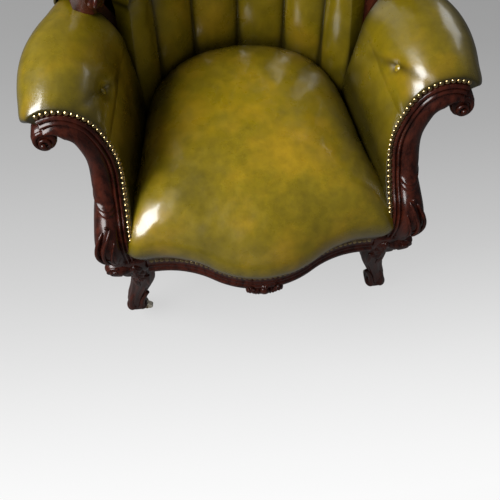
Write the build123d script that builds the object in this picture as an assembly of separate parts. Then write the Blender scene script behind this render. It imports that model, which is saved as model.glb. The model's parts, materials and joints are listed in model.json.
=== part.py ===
from build123d import *
import math
import os

# A Victorian button-back easy chair: carved show-wood frame, sprung seat, rolled arms, fluted and
# buttoned tub back, close nailing and four swivelling castors. Front faces -Y, floor at Z = 0.
os.makedirs("parts", exist_ok=True)

# Running clearances
gap = 0.3
overlap = 12.0
overrun = 400.0

# Castors
wheel_radius = 16.0
wheel_width = 12.0
wheel_edge = 2.0
axle_radius = 2.4
axle_gap = 0.3
fork_plate = 3.0
fork_side_gap = 0.8
fork_crown = 5.0
fork_head_radius = 13.0
swivel_gap = 0.5
castor_trail = 18.0
stem_radius = 4.5
stem_length = 34.0
stem_gap = 0.4
castor_plate_radius = 19.0
castor_plate_thickness = 3.0
wheel_head_room = 3.0

# Legs
leg_half = 24.0
front_foot_x = 298.0
front_foot_y = -290.0
front_knee_x = 259.0
front_knee_y = -276.0
back_foot_x = 226.0
back_foot_y = 232.0
back_leg_half = 19.0
back_stile_half = 17.0
toe_radius = 15.0
toe_spread = 15.0
toe_reach = 11.0
side_bulge_share = 0.16

# Seat frame
rail_bottom = 268.0
rail_height = 66.0
rail_thickness = 28.0
leg_block_inner_x = 238.0
leg_block_outer_x = 300.0
leg_block_front_y = -306.0
leg_block_back_y = -244.0
leg_block_drop = 10.0
stile_low_angle = 39.3
stile_low_depth = 48.0
stile_high_angle = 67.0
stile_high_depth = 40.0
back_block_half = 19.0
side_rail_front_x = 281.0
side_rail_mid_x = 268.0
side_rail_mid_y = -60.0
knee_scroll_x = 300.0
knee_scroll_z = 296.0
knee_scroll_radius = 22.0
knee_scroll_front = 12.0
corner_block_height = 40.0
corner_block_drop = 8.0
corner_block_reach = 42.0

# Serpentine front, in plan: a bow in the middle and a hollow on each side
bow_radius = 190.0
bow_front_y = -364.0
bow_angle = 31.8
hollow_radius = 218.0
bead_height = 18.0
bead_reach = 8.0
fillet_height = 9.0
fillet_reach = 4.0
cartouche_half = 38.0
cartouche_height = 34.0
cartouche_drop = 5.0
cartouche_reach = 15.0

# Seat
seat_corner_x = 242.0
seat_corner_radius = 20.0
seat_side_mid_x = 225.0
seat_side_mid_y = -70.0
seat_back_radius = 226.0
seat_back_angle = 66.0
seat_crown_rise = 136.0
seat_bulge = 6.0
edge_roll_share = 0.86
hessian_rise = 62.0
hessian_thickness = 2.0
hessian_share = 0.01
cloth_thickness = 1.0
web_thickness = 1.6
web_width = 50.0
web_count = 4
web_end_share = 0.6
spring_count = 3
spring_pitch_x = 118.0
spring_pitch_y = 112.0
spring_middle_y = -92.0
spring_wire_radius = 1.9
spring_end_radius = 40.0
spring_waist_radius = 24.0
spring_turns = 4
spring_gap = 0.1

# Arm facing, seen from the front: the nail line is two arcs that meet on one line
roll_x = 346.0
roll_z = 561.0
nail_roll_radius = 74.5
nail_neck_radius = 227.0
nail_end_angle = 63.0
nail_join_angle = 153.9
nail_low_angle = 186.0
facing_width = 54.0
facing_start = 5.0
reed_width = 7.0
facing_depth = 25.0
reed_reach = 5.0
second_reed_reach = 9.0
ovolo_reach = 12.0
volute_x = 374.0
volute_z = 585.0
volute_radius = 22.0
volute_reach = 19.0
eye_radius = 8.0
eye_reach = 25.0
ring_z = 452.0
ring_height = 12.0
ring_reach = 18.0
leaf_top_z = 444.0
leaf_mid_z = 414.0
leaf_low_z = 360.0
leaf_width = 73.0
leaf_reach = 20.0

# Lean of the facing, seen from the side: upright, swept back, then a steady lean
lean_y = -298.0
lean_low_z = 375.0
lean_low_radius = 60.0
lean_sweep_angle = 66.0
lean_high_radius = 165.0
lean_top_angle = 15.0
lean_top_length = 220.0

# Hidden arm frame
stump_start = 9.0
stump_end = 37.0
stump_depth_share = 0.85
arm_board_bottom = 568.0
arm_board_height = 22.0
arm_board_inner = 26.0
arm_board_outer = 24.0

# Arm pads
roll_radius = 83.0
roll_side_z = 592.0
roll_under_z = 557.0
arm_neck_z = 500.0
arm_hollow_z = 540.0
arm_face_z = 455.0
arm_crown = 8.0
arm_panel_thickness = 6.0
arm_panel_gap = 1.2
arm_button_angle = 152.0
tuft_radius = 15.0
tuft_depth = 7.0
seam_x = 225.0
seam_y = 45.0
seam_angle = 33.7

# Tub back
back_base_z = 425.0
back_base_y = 177.0
back_rake = 14.5
back_radius = 258.0
back_top_z = 992.0
back_thickness = 57.0
back_edge_thickness = 36.0
back_panel_thickness = 6.0
flute_width = 101.0
flute_bulge = 14.0
pillow_bulge = 22.0
puff_share = 0.9
seam_width = 4.0
button_seat = 19.0
button_row_z = 600.0
button_row_pitch = 80.0
button_radius = 8.5
button_height = 6.0
button_tie_radius = 1.8
button_tie_length = 2.8
shoulder_x = 352.0
back_side_bulge = 7.0
back_reach = 340.0
show_half = 20.0
show_depth_half = 18.0
show_proud = 8.0
show_start_z = 640.0
show_start_inset = 40.0
crest_half = 140.0
crest_rise = 36.0
crest_ornament_half = 92.0
crest_ornament_depth = 26.0
terminal_radius = 19.0

# Nails
nail_radius = 4.6
nail_height = 3.0
nail_pitch = 10.4
nail_lift_share = 0.45
back_nail_lift = 0.92

# Derived heights and places
zero = (0, 0, 0)
rail_top = rail_bottom + rail_height
pad_bottom = rail_top + gap
wheel_top = 2 * wheel_radius
fork_bottom = wheel_top + wheel_head_room
foot_z = fork_bottom + fork_crown + swivel_gap + castor_plate_thickness
plate_z = foot_z - castor_plate_thickness
bow_centre_y = bow_front_y + bow_radius
bow_end_x = bow_radius * math.sin(math.radians(bow_angle))
hollow_x = (bow_radius + hollow_radius) * math.sin(math.radians(bow_angle))
hollow_y = bow_centre_y - (bow_radius + hollow_radius) * math.cos(math.radians(bow_angle))
rail_flat_y = hollow_y + hollow_radius
back_centre_y = back_base_y - back_radius
stump_depth = (lean_low_radius - facing_depth) * stump_depth_share
seat_centre_y = (bow_front_y + back_base_y) / 2
neck_x = roll_x - (nail_neck_radius - nail_roll_radius) * math.cos(math.radians(nail_join_angle))
neck_z = roll_z - (nail_neck_radius - nail_roll_radius) * math.sin(math.radians(nail_join_angle))


def turned(angle):
    """Unit vector at an angle, in degrees."""
    return math.cos(math.radians(angle)), math.sin(math.radians(angle))


def wire_of(start, steps):
    """Closed wire. A step is a point, for a line, or a pair of points, for an arc through the first."""
    edges = []
    here = Vector(*start)
    for step in steps:
        if isinstance(step[0], tuple):
            middle, end = Vector(*step[0]), Vector(*step[1])
            edges.append(Edge.make_three_point_arc(here, middle, end))
        else:
            end = Vector(*step)
            edges.append(Edge.make_line(here, end))
        here = end
    if (here - Vector(*start)).length > gap / 100:
        edges.append(Edge.make_line(here, Vector(*start)))
    return Wire(edges)


def face_of(start, steps):
    return Face(wire_of(start, steps))


def upright(face, low, high):
    """Solid over a plan drawn at height zero, from one height to another."""
    return Pos(0, 0, low) * extrude(face, amount=high - low, dir=(0, 0, 1))


def both_sides(shape):
    return {"right": shape, "left": mirror(shape, about=Plane.YZ)}


def save(name, *shapes):
    whole = shapes[0] if len(shapes) == 1 else Compound(children=[s for one in shapes for s in one.solids()])
    export_step(whole, "parts/" + name + ".step")


# Castors: a round plate under the foot, a fork whose stem turns in the leg, a pin and a china wheel
def castor(foot_x, foot_y, heading):
    """The four pieces of one castor. The wheel trails from the foot's centre at an angle in plan."""
    along, across = turned(heading)
    stem_hole = Pos(0, 0, plate_z) * Cylinder(
        stem_radius + stem_gap, 2 * castor_plate_thickness, align=(Align.CENTER, Align.CENTER, Align.CENTER))
    base = (Align.CENTER, Align.CENTER, Align.MIN)
    plate = Pos(0, 0, plate_z) * Cylinder(castor_plate_radius, castor_plate_thickness, align=base) - stem_hole
    inner = wheel_width / 2 + fork_side_gap
    wheel_axis = Pos(castor_trail, 0, wheel_radius) * Rot(90, 0, 0)
    crown = Pos(0, 0, fork_bottom) * Cylinder(fork_head_radius, fork_crown, align=base)
    arm_length = castor_trail + axle_radius * 2
    bridge = Pos(arm_length / 2, 0, fork_bottom) * Box(
        arm_length, 2 * (inner + fork_plate), fork_crown, align=base)
    cheeks = []
    for side in (-1, 1):
        cheek = Pos(castor_trail, side * (inner + fork_plate / 2), wheel_radius) * Box(
            axle_radius * 4, fork_plate, fork_bottom - wheel_radius + fork_crown / 2,
            align=(Align.CENTER, Align.CENTER, Align.MIN))
        end = Pos(castor_trail, side * (inner + fork_plate / 2), wheel_radius) * Rot(90, 0, 0) * Cylinder(
            axle_radius * 2, fork_plate)
        cheeks += [cheek, end]
    stem = Pos(0, 0, fork_bottom) * Cylinder(stem_radius, fork_crown + swivel_gap + castor_plate_thickness
                                             + stem_length, align=base)
    pin = wheel_axis * Cylinder(axle_radius, 2 * (inner + fork_plate))
    fork = crown + bridge + cheeks[0] + cheeks[1] + cheeks[2] + cheeks[3] + stem - pin
    bored = wheel_axis * Cylinder(axle_radius + axle_gap, 2 * wheel_width)
    tyre = wheel_axis * Cylinder(wheel_radius, wheel_width)
    rims = tyre.edges().filter_by(GeomType.CIRCLE)
    wheel = fillet(rims, wheel_edge) - bored
    place = Pos(foot_x, foot_y, 0) * Rot(0, 0, heading)
    return {"plate": place * plate, "fork": place * fork, "axle": place * pin, "wheel": place * wheel}


def stem_bore(foot_x, foot_y):
    """Hole in the foot that the stem turns in."""
    return Pos(foot_x, foot_y, foot_z) * Cylinder(
        stem_radius + stem_gap, 2 * (stem_length + stem_gap), align=(Align.CENTER, Align.CENTER, Align.CENTER))


# Legs
def pillow_square(x, y, z, half, bulge):
    """Square section whose four sides bow outwards."""
    out = half * (1 + bulge)
    return wire_of((x - half, y - half, z), [
        ((x, y - out, z), (x + half, y - half, z)),
        ((x + out, y, z), (x + half, y + half, z)),
        ((x, y + out, z), (x - half, y + half, z)),
        ((x - out, y, z), (x - half, y - half, z))])


def swept_leg(stations, bulge):
    return Solid.make_loft([pillow_square(x, y, z, half, bulge) for x, y, z, half in stations], ruled=False)


# Share of the way from foot to knee: height, sideways, forwards, and how full the leg is
front_leg_shares = [(0.0, 0.0, 0.0, 0.95), (0.14, 0.0, 0.1, 0.9), (0.36, 0.32, 0.45, 0.9),
                    (0.6, 0.72, 0.8, 1.0), (0.84, 1.0, 1.0, 1.05), (1.0, 0.95, 1.0, 1.1)]
back_leg_shares = [(0.0, 0.0, 0.0, 1.0), (0.25, 0.38, 0.42, 0.9), (0.55, 0.75, 0.8, 1.0), (1.0, 1.0, 1.0, 1.15)]


def front_leg():
    rise = rail_bottom - leg_block_drop - foot_z
    stations = []
    for up, inwards, back, full in front_leg_shares:
        stations.append((front_foot_x + (front_knee_x - front_foot_x) * inwards,
                         front_foot_y + (front_knee_y - front_foot_y) * back,
                         foot_z + rise * up, leg_half * full))
    shaft = swept_leg(stations, side_bulge_share)
    block = Pos((leg_block_inner_x + leg_block_outer_x) / 2, (leg_block_front_y + leg_block_back_y) / 2,
                (rail_bottom - leg_block_drop + rail_top) / 2) * Box(
        leg_block_outer_x - leg_block_inner_x, leg_block_back_y - leg_block_front_y, rail_height + leg_block_drop)
    scroll_back = lean_y + facing_depth
    scroll = Pos(knee_scroll_x, scroll_back, knee_scroll_z) * Rot(90, 0, 0) * Cylinder(
        knee_scroll_radius, scroll_back - leg_block_front_y + knee_scroll_front,
        align=(Align.CENTER, Align.CENTER, Align.MIN))
    leg = shaft + block + scroll
    for side in (-1, 1):
        toe = Pos(front_foot_x + side * toe_spread, front_foot_y - toe_reach, foot_z + toe_radius) * Sphere(
            toe_radius)
        leg = leg + toe
    below = Pos(front_foot_x, front_foot_y, foot_z) * Box(
        overrun, overrun, foot_z * 2, align=(Align.CENTER, Align.CENTER, Align.MAX))
    return leg - below - stem_bore(front_foot_x, front_foot_y)


# The tub back: a surface whose plan is an arc at every height, flatter towards the top
# Height share from the rail to the top, and the arc's radius as a share of the radius at the seat
tub_radius_shares = [(-0.2, 1.0), (0.0, 1.0), (0.4, 1.015), (0.465, 1.05), (0.556, 1.28), (0.647, 1.49),
                     (0.74, 1.67), (0.83, 1.76), (0.905, 1.8), (1.2, 1.84)]


def between(table, where):
    """Straight-line value from a table of pairs."""
    for (a, low), (b, high) in zip(table, table[1:]):
        if where <= b:
            break
    return low + (high - low) * (where - a) / (b - a)


def tub_radius(z):
    return back_radius * between(tub_radius_shares, (z - rail_top) / (back_top_z - rail_top))


def tub_y(z):
    return back_base_y + (z - back_base_z) * math.tan(math.radians(back_rake))


def tub_point(angle, z, depth):
    """Point on the tub at an angle from the middle, a depth behind the seams."""
    radius = tub_radius(z)
    cosine, sine = turned(angle)
    return sine * (radius + depth), tub_y(z) - radius + cosine * (radius + depth), z


def tub_angle(run, z):
    return math.degrees(run / tub_radius(z))


# Where the seams stand, as shares of the middle flute's width, on each side
seam_shares = {0: 0.0, 0.5: 0.5, 1: 1.0, 1.5: 1.46, 2: 1.91, 2.5: 2.32, 3: 2.71}


def seam_run(place):
    share = seam_shares[abs(place)] * flute_width
    return math.copysign(share, place)


# Outer corner of the tub: height share, angle from the middle, depth behind the seams as a share
corner_shares = [(-0.2, 40.0, 1.25), (0.0, 40.0, 1.25), (0.404, 50.0, 1.66), (0.465, 49.0, 1.5),
                 (0.556, 42.0, 0.88), (1.2, 26.0, 0.8)]
# Where the tub's side ends: height share, width as a share of the shoulder's
side_shares = [(-0.2, 0.744), (0.0, 0.744), (0.14, 0.81), (0.283, 0.92), (0.404, 1.0), (0.465, 0.95)]
shoulder_top_share = 0.465


def seam_plane_y(x):
    """Where the joint between arm and back stands, in plan."""
    return seam_y + (x - seam_x) * math.tan(math.radians(seam_angle))


def outer_points(z, out):
    """Side end and rear corner of the tub at a height, moved outwards."""
    share = (z - rail_top) / (back_top_z - rail_top)
    angle = between([(a, b) for a, b, c in corner_shares], share)
    depth = between([(a, c) for a, b, c in corner_shares], share) * back_thickness
    corner = tub_point(angle, z, depth + out)
    if share <= shoulder_top_share + 0.001:
        x = shoulder_x * between(side_shares, share)
        cosine, sine = turned(seam_angle)
        side = (x + out * cosine + sine * overlap, seam_plane_y(x) + out * sine - cosine * overlap, z)
    else:
        side = tub_point(tub_angle(back_reach, z), z, back_edge_thickness + out)
    return side, corner


def outer_steps(z, out, forth):
    """Steps round the outside of the tub, from the right to the left, or back."""
    side, corner = outer_points(z, out)
    rear = (0, tub_y(z) + back_thickness + out, z)
    along = Vector(*corner) - Vector(*side)
    away = Vector(along.Y, -along.X, 0).normalized() * back_side_bulge
    middle = (Vector(*side) + Vector(*corner)) / 2 + away
    middle = (middle.X, middle.Y, z)

    def left(point):
        return -point[0], point[1], point[2]

    if forth:
        return side, [(middle, corner), (rear, left(corner)), (left(middle), left(side))]
    return left(side), [(left(middle), left(corner)), (rear, corner), (middle, side)]


def flute_section(z, phase, puff):
    """Plan of the back at one height. Phase 0 has its seams on whole places, and 1 on half places."""
    wide = seam_width + (button_seat - seam_width) * min(puff / pillow_bulge, 1)
    marks = [-back_reach]
    for k in (-3, -2, -1, 0, 1, 2, 3):
        low_full, high_full = seam_run(k - 0.5) if k > -3 else 0, seam_run(k + 0.5) if k < 3 else 0
        low_wide = (seam_run(k) - low_full - wide / 2 if k > -3 else wide / 2) * phase
        high_wide = (high_full - seam_run(k) - wide / 2 if k < 3 else wide / 2) * phase
        low = seam_run(k) - wide / 2 * (1 - phase) - low_wide
        high = seam_run(k) + wide / 2 * (1 - phase) + high_wide
        marks += [low, high]
    marks.append(back_reach)
    points = [tub_point(tub_angle(run, z), z, 0) for run in marks]
    steps = []
    for n in range(len(points) - 1):
        fullness = min(max(marks[n + 1] - marks[n] - wide, 0) / (flute_width - wide), 1)
        if n in (0, len(points) - 2):
            fullness = 0
        rise = puff * fullness * (1 + puff_share * (1 - fullness))
        middle = tub_point(tub_angle((marks[n] + marks[n + 1]) / 2, z), z, -rise)
        steps.append((middle, points[n + 1]))
    side, around = outer_steps(z, 0, True)
    return wire_of(points[0], steps + [side] + around)


def back_levels():
    """Heights, phases and fullness of the back's sections: flutes below, diamonds above."""
    levels = [(pad_bottom, 0, flute_bulge * 0.3), (back_base_z, 0, flute_bulge * 0.5),
              ((back_base_z + button_row_z) / 2, 0, flute_bulge), (button_row_z, 0, pillow_bulge)]
    z, phase = button_row_z, 0
    while z + button_row_pitch < back_top_z - button_row_pitch / 2:
        levels.append((z + button_row_pitch / 2, 0.5, pillow_bulge))
        z, phase = z + button_row_pitch, 1 - phase
        levels.append((z, phase, pillow_bulge))
    levels.append((back_top_z + show_half, phase, pillow_bulge * 0.4))
    return levels


def side_of_seam(keep_back, clear):
    """Everything behind the joint between arm and back on the right, or in front of it."""
    box = Pos(0, clear if keep_back else -clear, 0) * Box(
        4 * overrun, 2 * overrun, 8 * overrun,
        align=(Align.CENTER, Align.MIN if keep_back else Align.MAX, Align.CENTER))
    return Pos(seam_x, seam_y, 0) * Rot(0, 0, seam_angle) * box


# Outline of the show frame: height share, and the tub's angle there as a share of the stile's at the top
show_shares = [(0.556, 0.872), (0.647, 0.716), (0.74, 0.592), (0.83, 0.48), (0.905, 0.369),
               (0.958, 0.256), (0.989, 0.131)]


def show_stations():
    """Centre line of the show frame on the right, from the stile up to the middle of the crest."""
    stations = [(stile_high_angle, show_start_z, stile_high_depth)]
    depth = show_depth_half - show_proud
    for up, around in show_shares:
        stations.append((stile_high_angle * around, rail_top + (back_top_z - rail_top) * up, depth))
    stations.append((0.0, back_top_z, depth))
    return stations


def show_places():
    """Centre, inward way and forward way of each section of the show frame, from side to side."""
    right = show_stations()
    whole = [(-a, z, d) for a, z, d in right[:-1]] + right[::-1]
    centres = [Vector(*tub_point(a, z, d)) for a, z, d in whole]
    places = []
    for n, (angle, z, depth) in enumerate(whole):
        ahead = centres[min(n + 1, len(centres) - 1)] - centres[max(n - 1, 0)]
        if n in (0, len(whole) - 1):
            ahead = Vector(0, 0, 1 if n == 0 else -1)
        cosine, sine = turned(angle)
        face = Vector(-sine, -cosine, 0)
        ahead = ahead.normalized()
        inwards = ahead.cross(face).normalized()
        places.append((centres[n], inwards, inwards.cross(ahead).normalized()))
    return places


def show_frame(grown, proud):
    """Moulded frame round the back, from one stile over the crest to the other."""
    wires = []
    for c, inwards, front in show_places():
        across = inwards * (show_half + grown)
        deep = front * (show_depth_half + grown)
        fore = front * (show_depth_half + grown + proud)
        bow = fore + front * show_proud
        corners = [c - across - deep, c + across - deep, c + across + fore, c - across + fore]
        wires.append(wire_of(tuple(corners[0]), [
            tuple(corners[1]), tuple(corners[2]), (tuple(c + bow), tuple(corners[3])), tuple(corners[0])]))
    return Solid.make_loft(wires, ruled=False)


def back_outline():
    """What the show frame encloses, seen from the front, carried right through."""
    stations = show_stations()
    top = [tub_point(a, z, 0) for a, z, d in stations[1:]]
    shoulder = rail_top + (back_top_z - rail_top) * (shoulder_top_share + 0.035)
    points = [(overrun, 0, 0), (overrun, 0, shoulder)] + [(p[0], 0, p[2]) for p in top]
    points += [(-p[0], p[1], p[2]) for p in points[::-1][1:]]
    return extrude(face_of(points[0], points[1:]), amount=2 * overrun, dir=(0, 1, 0), both=True)


# Facing: what lies between two distances from the nail line, seen from the front
def around(x, z, radius, angle):
    cosine, sine = turned(angle)
    return x + radius * cosine, 0, z + radius * sine


def facing_edge(off, end_angle, low_z):
    """Start and steps down one edge of the facing, a distance outside the nail line."""
    start = around(roll_x, roll_z, nail_roll_radius - off, end_angle)
    middle = around(roll_x, roll_z, nail_roll_radius - off, (end_angle + nail_join_angle) / 2)
    join = around(roll_x, roll_z, nail_roll_radius - off, nail_join_angle)
    neck = around(neck_x, neck_z, nail_neck_radius - off, (nail_join_angle + nail_low_angle) / 2)
    low = around(neck_x, neck_z, nail_neck_radius - off, nail_low_angle)
    return start, [(middle, join), (neck, low), (low[0], 0, low_z)]


def facing_band(inner, outer, end_angle, low_z):
    start, down = facing_edge(inner, end_angle, low_z)
    far, back = facing_edge(outer, end_angle, low_z)
    up = [back[2], (back[1][1][0], 0, back[1][1][2]), (back[1][0], back[0][1]), (back[0][0], far)]
    return face_of(start, down + up)


def lean_chain(off):
    """Points of the lean at a distance behind the nails' surface, from the floor up, as (y, z)."""
    low_c = (lean_y + lean_low_radius, lean_low_z)
    sweep, top = math.radians(lean_sweep_angle), math.radians(lean_top_angle)
    reach = lean_low_radius + lean_high_radius
    high_c = (low_c[0] - reach * math.cos(sweep), low_c[1] + reach * math.sin(sweep))

    def low(angle):
        r = lean_low_radius - off
        return low_c[0] - r * math.cos(angle), low_c[1] + r * math.sin(angle)

    def high(angle):
        r = lean_high_radius + off
        return high_c[0] + r * math.cos(angle), high_c[1] - r * math.sin(angle)

    end = high(top)
    last = (end[0] + lean_top_length * math.sin(top), end[1] + lean_top_length * math.cos(top))
    return [(lean_y + off, 0), (lean_y + off, lean_low_z), low(sweep / 2), low(sweep),
            high((sweep + top) / 2), end, last]


def lean_slab(front, back):
    """Everything between two surfaces that follow the lean, on the right-hand side."""
    def at(p):
        return 0, p[0], p[1]

    a, b = lean_chain(front), lean_chain(back)
    steps = [at(a[1]), (at(a[2]), at(a[3])), (at(a[4]), at(a[5])), at(a[6]), at(b[6]), at(b[5]),
             (at(b[4]), at(b[3])), (at(b[2]), at(b[1])), at(b[0])]
    return extrude(face_of(at(a[0]), steps), amount=2 * overrun, dir=(1, 0, 0))


def before_lean(off):
    """Everything in front of a surface that follows the lean."""
    def at(p):
        return 0, p[0], p[1]

    a = lean_chain(off)
    far = (-2 * overrun, 0)
    steps = [at(a[1]), (at(a[2]), at(a[3])), (at(a[4]), at(a[5])), at(a[6]), at((far[0], a[6][1])), at(far)]
    return extrude(face_of(at(a[0]), steps), amount=2 * overrun, dir=(1, 0, 0))


def lean_y_at(z, off):
    """Where the lean stands at a height, and its slope there in degrees."""
    low_c = (lean_y + lean_low_radius, lean_low_z)
    sweep, top = math.radians(lean_sweep_angle), math.radians(lean_top_angle)
    reach = lean_low_radius + lean_high_radius
    high_c = (low_c[0] - reach * math.cos(sweep), low_c[1] + reach * math.sin(sweep))
    if z <= lean_low_z:
        return lean_y + off, 0.0
    if z <= low_c[1] + (lean_low_radius - off) * math.sin(sweep):
        angle = math.asin((z - low_c[1]) / (lean_low_radius - off))
        return low_c[0] - (lean_low_radius - off) * math.cos(angle), math.degrees(angle)
    if z <= high_c[1] - (lean_high_radius + off) * math.sin(top):
        angle = math.asin((high_c[1] - z) / (lean_high_radius + off))
        return high_c[0] + (lean_high_radius + off) * math.cos(angle), math.degrees(angle)
    end = lean_chain(off)[5]
    return end[0] + (z - end[1]) * math.tan(top), lean_top_angle


def deep(face):
    """A front view carried through from front to back."""
    return extrude(face, amount=2 * overrun, dir=(0, 1, 0), both=True)


def disc(x, z, radius):
    return Pos(x, 0, z) * Rot(90, 0, 0) * Cylinder(radius, 4 * overrun)


def arm_facing():
    """Reeds beside the nails, a broad ovolo, the volute, and the ring and leaf below."""
    first = facing_start + reed_width
    second = first + reed_width
    low_x = neck_x - nail_neck_radius * math.cos(math.radians(nail_low_angle - 180))
    pieces = [
        deep(facing_band(facing_start, first, nail_end_angle, rail_top)) & lean_slab(-reed_reach, facing_depth),
        deep(facing_band(first, second, nail_end_angle, rail_top)) & lean_slab(-second_reed_reach, facing_depth),
        deep(facing_band(second, facing_width, nail_end_angle, rail_top)) & lean_slab(-ovolo_reach, facing_depth),
        disc(volute_x, volute_z, volute_radius) & lean_slab(-volute_reach, facing_depth),
        disc(volute_x, volute_z, eye_radius) & lean_slab(-eye_reach, facing_depth)]
    ring_in, ring_out = low_x + second, low_x + facing_width + reed_width
    ring = face_of((ring_in, 0, ring_z - ring_height / 2), [
        (ring_out, 0, ring_z - ring_height / 2), (ring_out, 0, ring_z + ring_height / 2),
        (ring_in, 0, ring_z + ring_height / 2)])
    pieces.append(deep(ring) & lean_slab(-ring_reach, facing_depth))
    leaf_start = (low_x + second, 0, leaf_top_z)
    leaf = face_of(leaf_start, [
        (low_x + facing_width, 0, leaf_top_z),
        ((low_x + leaf_width, 0, leaf_mid_z), (low_x + facing_width, 0, leaf_low_z)),
        (low_x + second, 0, leaf_low_z)])
    pieces.append(deep(leaf) & lean_slab(-leaf_reach, facing_depth))
    whole = pieces[0]
    for piece in pieces[1:]:
        whole = whole + piece
    return whole


# Arms: sections across the roll's path, in the roll's own plane
# Place along the path: centre x, centre y and heading; then shares of the roll's radius
# Along the path from the facing to the back: place, sideways, heading, radius
arm_path_shares = [(-0.03, 1.01, 0.0, 0.91), (0.43, 1.0, 0.0, 0.93), (0.65, 0.974, 0.06, 1.0),
                   (0.94, 0.931, 0.36, 0.975), (None, 0.841, 1.0, 0.88)]
arm_reach_shares = [0.84, 0.85, 0.97, 0.99, 1.0]
# Across the section, as shares of the radius: inner foot, inner face, under the roll, its tack line,
# the hollow below it, the neck and the outer foot
arm_section_shares = [(-1.16, -1.225, 0.58, 0.0, -0.42, -0.60, -0.652),
                      (-1.234, -1.26, 0.58, 0.0, -0.42, -0.558, -0.65),
                      (-1.12, -1.15, 0.6, 0.08, -0.3, -0.445, -0.585),
                      (-1.19, -1.2, 0.66, 0.24, -0.1, -0.3, -0.62),
                      (-1.15, -1.15, 0.93, 0.82, 0.68, 0.49, -0.46)]
arm_crown_shares = [0.0, 0.0, 1.0, 0.8, 0.0]


def side_rail_circle(off):
    """Plan arc of the side rail's centre line, moved outwards: front, middle and back points."""
    back = tub_point(stile_low_angle, rail_top, stile_low_depth)
    points = [(side_rail_front_x, leg_block_back_y), (side_rail_mid_x, side_rail_mid_y), (back[0], back[1])]
    arc = Edge.make_three_point_arc(*[Vector(x, y, 0) for x, y in points])
    centre, radius = arc.arc_center, arc.radius
    moved = []
    for x, y in points:
        away = (Vector(x, y, 0) - centre).normalized()
        spot = centre + away * (radius + off)
        moved.append((spot.X, spot.Y, 0))
    return moved


def side_rail_x(y, off):
    """How far out the side rail stands at a place along it."""
    back = tub_point(stile_low_angle, rail_top, stile_low_depth)
    arc = Edge.make_three_point_arc(Vector(side_rail_front_x, leg_block_back_y, 0),
                                    Vector(side_rail_mid_x, side_rail_mid_y, 0), Vector(back[0], back[1], 0))
    centre, radius = arc.arc_center, arc.radius + off
    return centre.X + math.sqrt(max(radius ** 2 - (y - centre.Y) ** 2, 0))


def arm_frames():
    """Centre, heading and radius of each arm section."""
    frames = []
    for place, sideways, turn, size in arm_path_shares:
        x = roll_x * sideways
        y = lean_y + (seam_y - lean_y) * place if place is not None else seam_plane_y(x)
        frames.append((x, y, seam_angle * turn, roll_radius * size))
    x, y, heading, radius = frames[-1]
    cosine, sine = turned(heading)
    frames[-1] = (x + sine * gap, y - cosine * gap, heading, radius)
    return frames


def on_arm(frame, u, z):
    x, y, heading, radius = frame
    cosine, sine = turned(heading)
    return x + u * cosine, y + u * sine, z


def arm_pad_loft():
    wires = []
    for frame, row, crown, reach in zip(arm_frames(), arm_section_shares, arm_crown_shares, arm_reach_shares):
        r = frame[3]
        wide = r * reach
        foot, face, under, tack, hollow, neck, outer = [share * r for share in row]
        top = roll_z + r + arm_crown * crown

        def at(u, z):
            return on_arm(frame, u, z)

        diagonal = r * math.sqrt(0.5)
        wires.append(wire_of(at(foot, pad_bottom), [
            (at(face, arm_face_z), at(-r, roll_z)),
            (at(-diagonal, roll_z + (top - roll_z) * math.sqrt(0.5)), at(0, top)),
            (at(wide * 0.76, roll_side_z + (top - roll_side_z) * 0.66), at(wide, roll_side_z)),
            (at((wide + under) / 2 + (wide - under) * 0.3, (roll_side_z + roll_under_z) / 2 - arm_crown),
             at(under, roll_under_z)),
            at(tack, roll_under_z + arm_crown / 2),
            (at(hollow, arm_hollow_z), at(neck, arm_neck_z)),
            at(outer, pad_bottom),
            at(foot, pad_bottom)]))
    return Solid.make_loft(wires, ruled=False)


def arm_panel():
    """Outside of the arm: a thin skin from under the roll down to the rail's foot."""
    def shell(out):
        wires = []
        for frame, row in zip(arm_frames(), arm_section_shares):
            r = frame[3]
            foot, face, under, tack, hollow, neck, outer = [share * r for share in row]
            start = on_arm(frame, tack + out * 0.4, roll_under_z + arm_crown / 2 - out * 0.9)
            middle = on_arm(frame, hollow + out * 0.8, arm_hollow_z - out * 0.6)
            end = on_arm(frame, neck + out, arm_neck_z)
            foot_at = on_arm(frame, outer + out, pad_bottom)
            low = on_arm(frame, outer + out, rail_bottom + overlap / 4)
            wires.append((start, middle, end, foot_at, low))
        return wires

    sections = []
    for a, b in zip(shell(arm_panel_gap), shell(arm_panel_gap + arm_panel_thickness)):
        sections.append(wire_of(a[0], [(a[1], a[2]), a[3], a[4], b[4], b[3], b[2], (b[1], b[0]), a[0]]))
    return Solid.make_loft(sections, ruled=False) - before_lean(facing_depth + gap) - leg_block_solid(gap)


def leg_block_solid(grown):
    return Pos((leg_block_inner_x + leg_block_outer_x) / 2, (leg_block_front_y + leg_block_back_y) / 2,
               (rail_bottom - leg_block_drop + rail_top) / 2) * Box(
        leg_block_outer_x - leg_block_inner_x + 2 * grown, leg_block_back_y - leg_block_front_y + 2 * grown,
        rail_height + leg_block_drop + 2 * grown)


def arm_stump(grown):
    """Post behind the facing, from the leg block to the arm board."""
    region = deep(facing_band(stump_start - grown, stump_end + grown, nail_join_angle - 1, rail_top - grown))
    post = region & lean_slab(facing_depth - grown, facing_depth + stump_depth + grown)
    below = Pos(0, 0, arm_board_bottom + grown) * Box(
        4 * overrun, 4 * overrun, 4 * overrun, align=(Align.CENTER, Align.CENTER, Align.MAX))
    return post & below


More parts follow.
